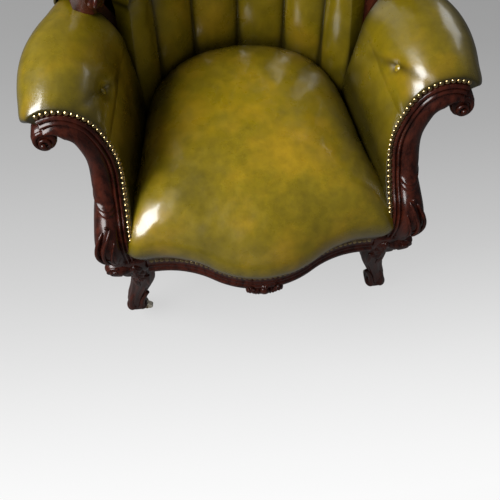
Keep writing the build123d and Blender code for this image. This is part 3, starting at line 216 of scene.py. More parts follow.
def ball(centre, radii, rows=20, columns=28):
    """Ellipsoid about a centre: (sin a cos b, sin a sin b, cos a) times the three radii."""
    down = np.linspace(0.001, np.pi - 0.001, rows)
    a, b = np.meshgrid(down, np.linspace(0, 2 * np.pi, columns, endpoint=False), indexing="ij")
    p = np.stack([np.sin(a) * np.cos(b), np.sin(a) * np.sin(b), np.cos(a)], -1) * np.array(radii, float)
    return patch(p + np.array(centre, float), loop=True)


ODD_WAY = np.array([0.31, 0.17, 0.93])


def tube(path, radii, columns=14):
    """Round bar along a path: at each point a ring of the radius there, square to the path. The first
    and last rings are drawn in to a point. ODD_WAY is a way that no bar here runs along, so that one,
    square to it and to the bar, is always there."""
    path = np.asarray(path, float)
    ahead = unit(np.gradient(path, axis=0))
    one = unit(np.cross(ahead, ODD_WAY))
    two = np.cross(ahead, one)
    a = np.linspace(0, 2 * np.pi, columns, endpoint=False)
    r = np.broadcast_to(np.asarray(radii, float), (len(path),))
    ring = path[:, None] + r[:, None, None] * (np.cos(a)[None, :, None] * one[:, None]
                                               + np.sin(a)[None, :, None] * two[:, None])
    ends = [path[None, k:k + 1 or None].repeat(columns, 1) for k in (0, -1)]
    return patch(np.concatenate([ends[0], ring, ends[1]]), loop=True)


print("a ball has", len(ball((0, 0, 0), (1, 1, 1))[1]), "faces")

# %% [markdown]
# ## Materials
# A material could be a painted picture, but a picture has to be unwrapped on to each piece and blurs
# close up. Noise and waves that are worked out from a place's own coordinates need neither, and they
# stay on the chair when the camera moves. The helpers below add one node each and return the socket to
# join on to, so that a finish reads as a few lines.

# %% Node helpers
def new_material(name):
    """An empty material, with its nodes, its links, its shader and the object's coordinates."""
    made = bpy.data.materials.new(name)
    made.use_nodes = True
    nodes, links = made.node_tree.nodes, made.node_tree.links
    shader = nodes["Principled BSDF"]
    coord = nodes.new("ShaderNodeTexCoord").outputs["Object"]
    return made, nodes, links, shader, coord


def noise(nodes, links, coord, scale, detail, rough, stretch=None):
    """Cloudy noise of scale cells a metre, drawn out where stretch is small."""
    if stretch:
        mapping = nodes.new("ShaderNodeMapping")
        mapping.inputs["Scale"].default_value = stretch
        links.new(coord, mapping.inputs["Vector"])
        coord = mapping.outputs["Vector"]
    tex = nodes.new("ShaderNodeTexNoise")
    tex.inputs["Scale"].default_value = scale
    tex.inputs["Detail"].default_value = detail
    tex.inputs["Roughness"].default_value = rough
    links.new(coord, tex.inputs["Vector"])
    return tex.outputs["Fac"]


def ramp(nodes, links, value, stops):
    """The value between 0 and 1 turned into a colour, by stops of (value, colour)."""
    made = nodes.new("ShaderNodeValToRGB")
    while len(made.color_ramp.elements) < len(stops):
        made.color_ramp.elements.new(0.5)
    for element, (at, color) in zip(made.color_ramp.elements, stops):
        element.position = at
        element.color = (*color, 1)
    links.new(value, made.inputs["Fac"])
    return made.outputs["Color"]


def mix(nodes, links, factor, a, b, blend="MIX"):
    """Colour a with a share of colour b mixed in, or multiplied on to it."""
    made = nodes.new("ShaderNodeMix")
    made.data_type = "RGBA"
    made.blend_type = blend
    if isinstance(factor, float):
        made.inputs[0].default_value = factor
    else:
        links.new(factor, made.inputs[0])
    for socket, value in ((made.inputs[6], a), (made.inputs[7], b)):
        if isinstance(value, tuple):
            socket.default_value = (*value, 1)
        else:
            links.new(value, socket)
    return made.outputs[2]


def bump(nodes, links, shader, height, strength, distance, before=None):
    """Fine relief: the shader's normal tilts as the height does, which is distance metres at most."""
    made = nodes.new("ShaderNodeBump")
    made.inputs["Strength"].default_value = strength
    made.inputs["Distance"].default_value = distance
    links.new(height, made.inputs["Height"])
    if before:
        links.new(before, made.inputs["Normal"])
    links.new(made.outputs["Normal"], shader.inputs["Normal"])
    return made.outputs["Normal"]


print("node helpers", [helper.__name__ for helper in (new_material, noise, ramp, mix, bump)])

# %% [markdown]
# ### Hand dyed leather
# The hides are sponged with olive dye over yellow, rubbed back on the crowns, and glazed. One flat colour
# with gloss would look like plastic. So slow noise mixes three tones of the dye, finer noise specks it, and a
# number carried by each point mixes in painted shade: a dark colour laid in folds, along edges and where
# parts meet, where shade falls. The grain is a mesh of tiny cells in the bump, under broader wrinkles, and
# the glaze is a coat over the shader.

# %% Leather
DYE = [(0.30, (0.125, 0.096, 0.002)), (0.5, (0.235, 0.170, 0.003)), (0.68, (0.360, 0.225, 0.006))]
# Colour of the painted shade, that the leather's dye is mixed towards where shade falls
PAINTED_SHADE_COLOR = (0.014, 0.011, 0.001)


def make_leather():
    """Dye clouds, times specks, mixed towards a dark colour where shade is painted, under a clear glaze."""
    made, nodes, links, shader, coord = new_material("leather")
    color = ramp(nodes, links, noise(nodes, links, coord, 7.0, 5.0, 0.6), DYE)
    fine = noise(nodes, links, coord, 55.0, 6.0, 0.7)
    speck = ramp(nodes, links, fine, [(0.35, (0.72, 0.70, 0.60)), (0.6, (1.0, 1.0, 1.0))])
    color = mix(nodes, links, 0.6, color, speck, "MULTIPLY")
    # Painted shade: each point's number mixes the dye towards the shade colour
    painted_shade = nodes.new("ShaderNodeAttribute")
    painted_shade.attribute_name = "painted_shade"
    color = mix(nodes, links, painted_shade.outputs["Fac"], color, PAINTED_SHADE_COLOR)
    links.new(color, shader.inputs["Base Color"])
    wear_and_shade = noise(nodes, links, coord, 22.0, 4.0, 0.6)
    rough = ramp(nodes, links, wear_and_shade, [(0.3, (0.24,) * 3), (0.7, (0.38,) * 3)])
    links.new(rough, shader.inputs["Roughness"])
    shader.inputs["Coat Weight"].default_value = 0.9
    shader.inputs["Coat Roughness"].default_value = 0.16
    cells = nodes.new("ShaderNodeTexVoronoi")
    cells.feature = "DISTANCE_TO_EDGE"
    cells.inputs["Scale"].default_value = 420.0
    links.new(coord, cells.inputs["Vector"])
    grain = bump(nodes, links, shader, cells.outputs["Distance"], 0.10, 0.0006)
    wrinkle = noise(nodes, links, coord, 38.0, 5.0, 0.6)
    bump(nodes, links, shader, wrinkle, 0.22, 0.003, grain)
    return made


leather = make_leather()
print("leather nodes", len(leather.node_tree.nodes))


# %% [markdown]
# ### Show wood and hidden wood
# The carved frame looks like mahogany, stained nearly black and french polished. Noise that is drawn out
# upwards gives grain without a picture. A thin coat carries the sharp polish and the rougher base a
# softer gleam, as shellac does over wood. The rails and blocks inside were never polished: the same grain
# serves them, paler and dull.

# %% Wood
def make_wood(name, dark, light, polished=True):
    """Grain between two tones, by noise whose cells are 7.5 times as long as they are wide."""
    made, nodes, links, shader, coord = new_material(name)
    grain = noise(nodes, links, coord, 14.0, 6.0, 0.65, (6.0, 6.0, 0.8))
    color = ramp(nodes, links, grain, [(0.32, dark), (0.62, light)])
    links.new(color, shader.inputs["Base Color"])
    shader.inputs["Roughness"].default_value = 0.24 if polished else 0.7
    if polished:
        shader.inputs["Specular IOR Level"].default_value = 0.3
        shader.inputs["Coat Weight"].default_value = 0.15
        shader.inputs["Coat Roughness"].default_value = 0.08
    bump(nodes, links, shader, grain, 0.12 if polished else 0.3, 0.0008)
    return made


wood = make_wood("show_wood", (0.010, 0.0022, 0.0014), (0.050, 0.010, 0.005))
raw_wood = make_wood("hidden_wood", (0.22, 0.13, 0.06), (0.42, 0.29, 0.16), polished=False)
print("woods", wood.name, raw_wood.name)


# %% [markdown]
# ### Nails, castors, springs and cloths
# Brass nails and forks, china wheels and coppered springs differ only in their tones, their gloss and
# whether they are metal, so one recipe makes all three. Webbing and the black cloth under the chair are
# plain weaves. Two sets of waves that cross and are multiplied give the little squares where the threads
# pass, which is enough at the size they are seen.

# %% Brass, china and steel
def make_plain(name, stops, rough, metallic=0.0, coat=0.0, scale=40.0):
    """Tones by noise, which also dents the surface a little."""
    made, nodes, links, shader, coord = new_material(name)
    value = noise(nodes, links, coord, scale, 5.0, 0.6)
    links.new(ramp(nodes, links, value, stops), shader.inputs["Base Color"])
    shader.inputs["Roughness"].default_value = rough
    shader.inputs["Metallic"].default_value = metallic
    shader.inputs["Coat Weight"].default_value = coat
    bump(nodes, links, shader, value, 0.2, 0.0005)
    return made


TARNISH, POLISHED_BRASS = (0.30, 0.20, 0.075), (0.68, 0.51, 0.25)
brass = make_plain("brass", [(0.3, TARNISH), (0.65, POLISHED_BRASS)], 0.25, 1.0, scale=120.0)
GLAZE_DARK, GLAZE_PALE = (0.62, 0.52, 0.36), (0.85, 0.80, 0.67)
china = make_plain("china", [(0.3, GLAZE_DARK), (0.6, GLAZE_PALE)], 0.22, coat=0.5, scale=60.0)
steel = make_plain("spring_steel", [(0.3, (0.25, 0.16, 0.10)), (0.7, (0.5, 0.38, 0.28))], 0.4, 1.0)
print("metals and china", brass.name, china.name, steel.name)


# %% Cloths
def make_cloth(name, dark, light, pitch):
    """Plain weave: the product of two sets of waves, one along X and one along Y."""
    made, nodes, links, shader, coord = new_material(name)
    heights = []
    for axis in ("X", "Y"):
        wave = nodes.new("ShaderNodeTexWave")
        wave.bands_direction = axis
        wave.inputs["Scale"].default_value = pitch
        wave.inputs["Distortion"].default_value = 0.4
        links.new(coord, wave.inputs["Vector"])
        heights.append(wave.outputs["Fac"])
    both = nodes.new("ShaderNodeMath")
    both.operation = "MULTIPLY"
    links.new(heights[0], both.inputs[0])
    links.new(heights[1], both.inputs[1])
    links.new(ramp(nodes, links, both.outputs[0], [(0.0, dark), (0.8, light)]), shader.inputs["Base Color"])
    shader.inputs["Roughness"].default_value = 0.9
    bump(nodes, links, shader, both.outputs[0], 0.5, 0.0006)
    return made


webbing = make_cloth("webbing", (0.20, 0.14, 0.08), (0.55, 0.45, 0.28), 260.0)
black_cloth = make_cloth("black_cloth", (0.008, 0.008, 0.008), (0.035, 0.035, 0.036), 420.0)
looks = {"leather": leather, "show_wood": wood, "hidden_wood": raw_wood, "brass": brass, "china": china,
         "spring_steel": steel, "webbing": webbing, "black_cloth": black_cloth}
print("materials", sorted(looks))

# %% [markdown]
# ### Dressing the solids
# Nails, buttons, castors, back legs, outside arms and everything inside are already right as solids, so
# they only need a finish. The record says which material slot each node is in, so a loop over it does all
# of them alike, and none can be missed.

# %% The CAD nodes take their slot's material
slot_of = {part["node"]: part["material_slot"] for part in frame["record"]["subparts"]}
for node, thing in frame["nodes"].items():
    thing.data.materials.clear()
    thing.data.materials.append(looks[slot_of[node]])
print(len(frame["nodes"]), "nodes dressed")


# %% [markdown]
# ## The seat
# The seat is one hide drawn tight over stuffing on springs, and nailed along a front rail that swings out
# in the middle and in beside the legs. A box with rounded edges could not follow that line. So the plan
# of the seat is drawn first: two arcs for each half of the serpentine front, a corner, and a spline
# along the arm and round the back.

# %% Serpentine front
# Radii of the bow in the middle and of the hollow beside it, and the angle at which they meet
BOW, HOLLOW, TURN = 190.0, 218.0, math.radians(31.8)
FRONT_Y = -364.0
BOW_Y = FRONT_Y + BOW
HOLLOW_X = (BOW + HOLLOW) * math.sin(TURN)
HOLLOW_Y = BOW_Y - (BOW + HOLLOW) * math.cos(TURN)
FLAT_Y = HOLLOW_Y + HOLLOW
print("front swings", round(FLAT_Y - FRONT_Y), "mm")


def serpentine(out, count=60):
    """Right half of the front line, out mm forwards: an arc of the bow, then one of the hollow."""
    a = np.linspace(0, TURN, count)
    bow = np.stack([(BOW + out) * np.sin(a), BOW_Y - (BOW + out) * np.cos(a)], -1)
    b = a[::-1]
    dip = np.stack([HOLLOW_X - (HOLLOW - out) * np.sin(b), HOLLOW_Y + (HOLLOW - out) * np.cos(b)], -1)
    return np.vstack([bow[:-1], dip])


# %% Plan of the seat
CORNER_X, CORNER_R = 270.0, 30.0
SIDE = [(266.0, -236.0), (253.0, -188.0), (238.0, -135.0), (227.0, -80.0), (216.0, -10.0), (199.0, 56.0),
        (158.0, 114.0), (86.0, 151.0), (0.0, 163.0)]


def seat_plan(out, count):
    """Closed plan of the seat, starting in the middle of the front: the serpentine, a round corner, a
    spline through SIDE, and the same again on the left."""
    front = serpentine(out)
    end = front[-1, 1]
    corner_end = (CORNER_X, end + CORNER_R)
    halfway = (CORNER_X - CORNER_R * 0.29, end + CORNER_R * 0.29)
    corner = arc((CORNER_X - CORNER_R, end), halfway, corner_end, 14)
    side = np.array([corner_end] + SIDE)
    run = np.concatenate([[0], np.cumsum(np.linalg.norm(np.diff(side, axis=0), axis=1))])
    side = natural(run, side, np.linspace(0, run[-1], 90))
    right = np.vstack([front, corner, side[1:]])
    left = right[::-1][1:-1] * MIRROR[:2]
    return even(np.vstack([right, left]), count, closed=True)


print("seat plan is", np.round(np.ptp(seat_plan(0.0, 400), axis=0)), "mm wide and deep")

# %% [markdown]
# Now the plan is lifted into a cushion, much as a map's contour lines make a hill. Each level is the plan
# drawn in to a scale about a centre, at a share of the cushion's rise: it swells over the rail, rolls
# over, and closes to a point on the crown. Stuffing evens things out as it rises, so the upper levels
# use a plan whose hollows and corners have been smoothed.

# %% Cushion
SEAT_LOW, SEAT_RISE, OVER_RAIL = 334.0, 137.0, 4.0
FRONT_SWELL, FRONT_DROP, CORNER_LIFT, BACK_RISE = 0.018, 0.10, 0.45, 20
CENTRE = np.array([0.0, -96.0])
CORNER_AT, CORNER_WIDE = math.radians(49), math.radians(21)
# Share of the rise, and scale of the plan there
seat_share = np.array([[0.0, 0.985], [0.10, 1.0], [0.22, 1.012], [0.34, 1.010], [0.46, 0.992], [0.57, 0.958],
                       [0.67, 0.905], [0.76, 0.835], [0.845, 0.73], [0.91, 0.59], [0.96, 0.41], [0.99, 0.21],
                       [1.0, 0.0]])
rows = np.linspace(0, 1, 170)
level = natural(np.linspace(0, 1, len(seat_share)), seat_share, rows)
count = 420
plan = seat_plan(OVER_RAIL, count)
spokes = plan - CENTRE
angle = np.arctan2(plan[:, 0], -spokes[:, 1])
forward = np.clip(-spokes[:, 1] / 260, 0, 1)
corner_full = np.exp(-((np.abs(angle) - CORNER_AT) / CORNER_WIDE) ** 2)
spoke_long = np.linalg.norm(spokes, axis=1)
REACH, BLUR, EASED = 50, 15.0, 0.72
window = np.exp(-(np.arange(-REACH, REACH + 1) / BLUR) ** 2 / 2)
blurred = np.convolve(np.pad(spoke_long, REACH, mode="wrap"), window / window.sum(), mode="valid")
rounded = 1 + EASED * (blurred / spoke_long - 1)
# up and scale go down the rows, and everything about the plan goes across them
up, scale = level[:, :1], level[:, 1:]
bulge = 1 + FRONT_SWELL * forward * np.sin(np.pi * np.clip(up / 0.62, 0, 1))
ease = smooth((up - 0.18) / 0.6)
points = np.zeros((len(rows), count, 3))
points[..., :2] = CENTRE + spokes * (scale * bulge * (1 - ease + ease * rounded))[..., None]
# The front edge sits lower than the sides, the corners are full, and the back rises to meet the tub
backward = np.clip((points[..., 1] - 10) / 150, 0, 1)
full = up + CORNER_LIFT * corner_full * up * (1 - up)
held = 1 - FRONT_DROP * forward * (1 - up)
points[..., 2] = SEAT_LOW + SEAT_RISE * full * held + BACK_RISE * up * smooth(backward)
print("cushion", points.shape[:2], "crown at", round(points[..., 2].max(), 1))

# %% Unevenness, pull at the nails and painted shade at the edges
WAVE_HIGH, FINE_HIGH, PULL_DEEP, PLEATS = 1.3, 0.5, 1.5, 46
n = normals(points)
x, y = points[..., 0], points[..., 1]
top = smooth((up - 0.6) / 0.3)
lift = WAVE_HIGH * ripple(x, y) * top + FINE_HIGH * ripple(3 * x, 3 * y, 2.0)
lift = lift * smooth(scale / 0.2)
pull = np.exp(-((up - 0.05) / 0.06) ** 2) * PULL_DEEP * np.sin(angle * PLEATS) ** 2
points = points + np.sign(n[100, 0, 2]) * n * (lift - pull)[..., None]
# Painted shade on the low band of the cushion, where it swells over the rail and turns under
rim_shade = np.clip(1 - (up / 0.34), 0, 1) ** 1.3
# How near each place is to the edge of the plan. Shade is painted there, darker towards the edges and more so
# towards the back
edge_near = np.clip((scale - 0.30) / 0.70, 0, 1) ** 1.6
side_shade = edge_near * (0.34 + 0.34 * np.clip((y + 200) / 260, 0, 1))
painted_shade = np.clip(0.85 * rim_shade + side_shade, 0, 0.92)
under = points[:1] * np.array([0.9, 0.9, 1])
points = np.concatenate([under, points])
painted_shade = np.concatenate([painted_shade[:1], painted_shade])
seat_patch = patch(points, painted_shade, loop=True)
piece("seat_cushion_dressed", [seat_patch], leather, ["seat_cushion"])
print("seat cushion", points.shape, "crease up to", round(float(painted_shade.max()), 2))


# %% [markdown]
# ## The tub back
# The back is a tub: seen from above each level is an arc, tight at the seat and wider higher up, and the
# whole leans back. A flat panel that a modifier bends would stretch the buttoning where the tub opens
# out. So the tub is a surface with its own coordinates instead, an angle and a height, and the flutes,
# the buttons and the show frame are all placed on it.

# %% Tub surface
RAIL_TOP, TUB_TOP, TUB_RADIUS = 334.0, 992.0, 258.0
# Share of the height from the rail to the top, and share of the radius there
TUB_R = np.array([(-0.2, 1.0), (0.0, 1.0), (0.4, 1.015), (0.465, 1.05), (0.556, 1.28), (0.647, 1.49),
                  (0.74, 1.67), (0.83, 1.76), (0.905, 1.8), (1.2, 1.84)])
RAKE, SPINE_Y, SPINE_Z = math.tan(math.radians(14.5)), 177.0, 425.0


def tub_radius(z):
    """Radius of the tub at a height, by straight lines between the shares in TUB_R."""
    return TUB_RADIUS * np.interp((z - RAIL_TOP) / (TUB_TOP - RAIL_TOP), TUB_R[:, 0], TUB_R[:, 1])


def tub(angle, z, depth):
    """Point at an angle in degrees from the middle, a depth behind the seams: (sin a, cos a) times the
    radius and the depth, about a centre that moves back as the height grows."""
    r = tub_radius(z)
    a = np.radians(angle)
    y = SPINE_Y + (z - SPINE_Z) * RAKE - r + np.cos(a) * (r + depth)
    return np.stack([np.sin(a) * (r + depth), y, z + 0 * r], -1)


print("tub radius at the top", round(float(tub_radius(TUB_TOP))), "mm")

# %% [markdown]
# The polished frame that edges the back is one long moulding over the top. It needs a centre line, and at
# each point of it two ways to measure a profile by: inwards, towards the leather, and frontwards. A
# curve object with a bevel would choose its own twist. Taking both ways from the tub's own surface keeps
# the moulding's face turned to the sitter all the way round.

# %% Line of the show frame: angle, height and depth of its centre, from the right foot to the crest
FOOT_ANGLE, FOOT_HEIGHT, FOOT_DEPTH, LINE_DEPTH = 67.0, 640.0, 40.0, 10.0
climb_share = [(0.556, 0.872), (0.647, 0.716), (0.74, 0.592), (0.83, 0.48), (0.905, 0.369), (0.958, 0.256),
               (0.989, 0.131)]
stations = [(FOOT_ANGLE, FOOT_HEIGHT, FOOT_DEPTH)]
stations += [(FOOT_ANGLE * a, RAIL_TOP + (TUB_TOP - RAIL_TOP) * u, LINE_DEPTH) for u, a in climb_share]
stations = np.array(stations + [(0.0, TUB_TOP, LINE_DEPTH)])
whole = np.vstack([stations * MIRROR, stations[::-1][1:]])
centres = tub(whole[:, 0], whole[:, 1], whole[:, 2])
place = np.concatenate([[0], np.cumsum(np.linalg.norm(np.diff(centres, axis=0), axis=1))])
line_at = np.linspace(0, place[-1], 420)
line = natural(place, centres, line_at)
line_angle = natural(place, whole[:, :1], line_at)[:, 0]
ahead = unit(np.gradient(line, axis=0))
ahead[0], ahead[-1] = (0, 0, 1), (0, 0, -1)
face = np.stack([-np.sin(np.radians(line_angle)), -np.cos(np.radians(line_angle)), 0 * line_angle], -1)
inward = unit(np.cross(ahead, face))
front = unit(np.cross(inward, ahead))
print("show frame", round(place[-1]), "mm long")

# %% [markdown]
# The leather of the back is drawn in between the seams below, which makes upright flutes, and pulled in
# by buttons above, which makes diamonds. Modelling each pillow by hand would take days, and a picture of
# bumps would not hide and catch light as real hollows do. But both patterns are only distances: a flute
# is low on its two seams, and a diamond is low on the creases that run slantwise between buttons. Waves
# that fall to nothing on those lines give the height of the padding and its creases together.

# %% Flutes below, diamonds above
FLUTE = 101.0
SEAMS = np.array([0, 0.5, 1, 1.5, 2, 2.5, 3])
SEAM_RUN = np.array([0, 0.5, 1, 1.46, 1.91, 2.32, 2.71]) * FLUTE
ROW, FIRST_ROW, PUFF, SHADED_CREASE_WIDE = 80.0, 600.0, 25.0, 0.16


def seam_place(run):
    """Which flute a run stands in, as a number that is whole on the seams."""
    grown = np.append(SEAM_RUN, SEAM_RUN[-1] + 2 * FLUTE), np.append(SEAMS, SEAMS[-1] + 2 * 1.15)
    return np.sign(run) * np.interp(np.abs(run), *grown)


def padding(run, z):
    """How far the leather stands in front of the seams, and how much shade is painted at each place, most
    along the creases and some at the buttons.

    Below the first row the leather is fluted, |sin(pi p)| across each flute p. Above it the creases
    run between buttons: with p and q = (z - first) / (2 row), they are the lines where p + q or
    p - q is whole, and the height falls to nothing only at the buttons, where both are."""
    p = seam_place(run)
    q = np.maximum(z - FIRST_ROW, 0) / (2 * ROW)
    a, b = np.abs(np.sin(np.pi * (p + q))), np.abs(np.sin(np.pi * (p - q)))
    low, high = np.minimum(a, b), np.maximum(a, b)
    diamond = 0.50 * high ** 0.8 + 0.50 * (a * b) ** 0.42
    s = np.abs(np.sin(np.pi * p))
    flute = s ** 0.62
    mixed = smooth((z - FIRST_ROW + 55) / 55)
    fall = smooth((z - RAIL_TOP) / 190)
    joining = 0.5 * s ** 0.8 + 0.5 * s ** 0.84
    fluted = (1 - mixed) * (8 + 11 * fall) * flute + mixed * PUFF * joining
    height = np.where(z > FIRST_ROW, PUFF * diamond, fluted)
    # Painted shade along the creases, and some in each button's hollow
    painted_shade = np.exp(-(np.where(z > FIRST_ROW, low, s) / SHADED_CREASE_WIDE) ** 1.2)
    button = np.exp(-((np.minimum(a + b, 2) / 0.45) ** 2)) * (z > FIRST_ROW - 20)
    return height, np.clip(0.75 * painted_shade + 0.35 * button, 0, 1)


print("seams at", np.round(SEAM_RUN[::2]), "mm along the arc, rows of buttons", ROW, "mm apart")

# %% [markdown]
# The hide of the inside back fills the space between the arms below and the show frame above. Its rows
# crowd together near the top, where the frame closes over quickly, and its width at each height runs to
# the frame's inner edge, or to the arms lower down. Close to the frame the padding rolls over like the
# quarter of a circle and is tucked under.

# %% Outline of the inside back
TO_LEATHER = 19.0
edge_run = np.radians(line_angle) * tub_radius(line[:, 2])
edge_run = edge_run - np.sign(edge_run) * np.abs(inward[:, 0]) * TO_LEATHER
edge_z = line[:, 2] + inward[:, 2] * TO_LEATHER
right_half = slice(len(line) // 2, len(line))
CROWD_AT, CROWD_Z = 0.62, 760
t = np.linspace(0, 1, 300)
low_rows = RAIL_TOP + 1 + (CROWD_Z - RAIL_TOP) * t / CROWD_AT
crowding = np.clip((t - CROWD_AT) / (1 - CROWD_AT), 0, 1)
high_rows = CROWD_Z + 1 + (edge_z.max() - CROWD_Z - 2) * np.sin(crowding * np.pi / 2)
z_rows = np.where(t >= CROWD_AT, high_rows, low_rows)
order = np.argsort(edge_z[right_half])
frame_w = np.interp(z_rows, edge_z[right_half][order], edge_run[right_half][order])
# Height, and angle to which the leather reaches between the arms
BETWEEN_ARMS = np.array([(334, 62.0), (480, 60.0), (600, 58.0), (650, 57.0)])
low_w = np.radians(natural(BETWEEN_ARMS[:, 0], BETWEEN_ARMS[:, 1], z_rows)) * tub_radius(z_rows)
to_frame = smooth((z_rows - 640) / 50)
width = low_w * (1 - to_frame) + frame_w * to_frame
run = width[:, None] * np.linspace(-1, 1, 300)[None]
z = np.broadcast_to(z_rows[:, None], run.shape)
print("inside back is", round(2 * width.max()), "mm wide at most, along its arc")

# %% Inside back
ROLL_OVER, EDGE_STANDS, TUCKED, TUCKED_TOP = 26.0, 7.0, 25.0, 30.0
edge_points = np.stack([edge_run, edge_z], -1)[(edge_z > 665)][::3]
gaps = np.linalg.norm(np.stack([run, z], -1)[:, :, None] - edge_points, axis=-1)
near = np.clip(gaps.min(-1) / ROLL_OVER, 0, 1)
round_over = np.sqrt(1 - (1 - near) ** 2)
height, painted_shade = padding(run, z)
height = height * round_over + (1 - near) * EDGE_STANDS
height = height + 0.5 * ripple(run * 2, z * 2, 1.0) * round_over
angle = np.degrees(run / tub_radius(z))
inside = tub(angle, z, -height)
# Painted shade: darker in the creases, under the frame, low down behind the seat, and on the flutes as a
# whole
painted_shade = painted_shade * 0.9 + 0.5 * (1 - near) ** 2 + 0.5 * np.exp(-(z - 420) / 60 * (z > 420)) * (z < 600)
painted_shade = np.clip(0.28 * (z < 640) + painted_shade, 0, 0.96)
sheet = np.concatenate([tub(angle[:1], z[:1], TUCKED), inside, tub(angle[-1:], z[-1:], TUCKED_TOP)])
edge_angle, edge_height = [np.vstack([grid[:1], grid, grid[-1:]]) for grid in (angle, z)]
left_tuck, right_tuck = [tub(edge_angle[:, k], edge_height[:, k], TUCKED)[:, None] for k in (0, -1)]
sheet = np.concatenate([left_tuck, sheet, right_tuck], axis=1)
back_patch = patch(sheet, np.pad(painted_shade, 1, mode="edge"), towards=(0, -1, 0))
piece("inside_back_dressed", [back_patch], leather, ["inside_back"])
print("inside back", sheet.shape)


# %% [markdown]
# ## The arms
# Each arm is a fat roll over a flat inner face, upholstered in one, and closed in front by the carved
# facing. That facing is upright at the seat, sweeps back in two arcs and then leans, so the roll begins
# further back the higher one goes. The line it follows is needed for the leather and for the carving, so
# it is a function of its own.

# %% Lean of the facing
# Where the facing's foot stands and where its first arc begins, and the radii of its two arcs
LEAN_Y, LOW_Z, LOW_R, HIGH_R = -298.0, 375.0, 60.0, 165.0
SWEEP, TOP = math.radians(66.0), math.radians(15.0)
LOW_C = np.array([LEAN_Y + LOW_R, LOW_Z])
HIGH_C = LOW_C + (LOW_R + HIGH_R) * np.array([-math.cos(SWEEP), math.sin(SWEEP)])


def lean(z, off=0.0):
    """How far back the front of the arm is at a height, off mm behind the nails: upright, swept along
    two arcs, then leaning in a straight line."""
    z = np.asarray(z, float)
    low = LOW_C[0] - (LOW_R - off) * np.cos(np.arcsin(np.clip((z - LOW_Z) / (LOW_R - off), 0, 1)))
    high = HIGH_C[0] + (HIGH_R + off) * np.cos(np.arcsin(np.clip((HIGH_C[1] - z) / (HIGH_R + off), -1, 1)))
    end_z = HIGH_C[1] - (HIGH_R + off) * math.sin(TOP)
    end_y = HIGH_C[0] + (HIGH_R + off) * math.cos(TOP)
    out = np.where(z <= LOW_Z + (LOW_R - off) * math.sin(SWEEP), low, high)
    return np.where(z > end_z, end_y + (z - end_z) * math.tan(TOP), out)


print("facing sweeps", round(float(lean(600.0) - lean(340.0))), "mm back between seat and roll")

# %% [markdown]
# The arm could be a tube on a curve, but its section changes: the roll is round in front and flatter and
# narrower where it dies into the back. So five sections are drawn, each a run of arcs round the roll with
# a flat face below, and splines join them point by point into lines that run along the arm. Each line is
# then cut off where it meets the facing.

# %% Sections of the arm
# Middle and radius of the roll, and the angle at which the arm's seam with the back stands in plan
ROLL_X, ROLL_Z, ROLL_R = 346.0, 561.0, 83.0
SEAM_TURN, SEAM_X, SEAM_Y = math.radians(33.7), 225.0, 45.0
CROWN_RISE, WAIST_Z = 8.0, 455.0
# Heights on the roll's outer side, from where it turns under to its tacked edge
COVE_Z, TURN_IN_Z, UNDER_Z, BEFORE_TACK_Z, TACK_Z = 592.0, 566.5, 557.0, 559.0, 561.0
# For each section: place along the arm, side, turn towards the seam, and size; then shares of the radius
path_share = [(-0.03, 1.01, 0.0, 0.91), (0.43, 1.0, 0.0, 0.93), (0.65, 0.974, 0.06, 1.0),
              (0.94, 0.931, 0.36, 0.975), (None, 0.841, 1.0, 0.88)]
reach_share = [0.76, 0.80, 0.95, 0.99, 1.0]
section_share = [(-1.16, -1.225, 0.58, 0.0), (-1.36, -1.33, 0.58, 0.0), (-1.28, -1.25, 0.6, 0.08),
                 (-1.30, -1.26, 0.66, 0.24), (-1.20, -1.18, 0.93, 0.82)]
crown_share = [0.0, 0.0, 1.0, 0.8, 0.0]
lines = []
for (where, side, turn, size), reach, row, crown in zip(path_share, reach_share, section_share, crown_share):
    cx = ROLL_X * side
    if where is None:
        cy = SEAM_Y + (cx - SEAM_X) * math.tan(SEAM_TURN)
    else:
        cy = LEAN_Y + (SEAM_Y - LEAN_Y) * where
    r, wide = ROLL_R * size, ROLL_R * size * reach
    foot, inner, under, tack = [share * r for share in row]
    top_z = ROLL_Z + r + CROWN_RISE * crown
    d = r * math.sqrt(0.5)
    flat = np.vstack([
        arc((foot, RAIL_TOP), (inner, WAIST_Z), (-r, ROLL_Z), 60),
        arc((-r, ROLL_Z), (-d, ROLL_Z + (top_z - ROLL_Z) * math.sqrt(0.5)), (0, top_z), 34)[1:],
        arc((0, top_z), (wide * 0.76, COVE_Z + (top_z - COVE_Z) * 0.66), (wide, COVE_Z), 34)[1:],
        arc((wide, COVE_Z), ((wide + under) / 2 + (wide - under) * 0.3, TURN_IN_Z), (under, UNDER_Z), 16)[1:],
        np.array([[(under + tack) / 2, BEFORE_TACK_Z], [tack, TACK_Z]])])
    c, s = math.cos(SEAM_TURN * turn), math.sin(SEAM_TURN * turn)
    lines.append(np.stack([cx + flat[:, 0] * c, cy + flat[:, 0] * s, flat[:, 1]], -1))
print("arm sections", np.shape(lines))

# %% Lines along the arm, cut off by the facing
OUTER_FROM, SLANT, SLANT_TOP = 94, 0.95, 622.0
# Where the five sections lie along the lines, as the splines count it
section_knots = [0, 0.43, 0.62, 0.86, 1.0]
dense_t = np.linspace(0, 1, 260)
dense = natural(section_knots, np.array(lines), dense_t)
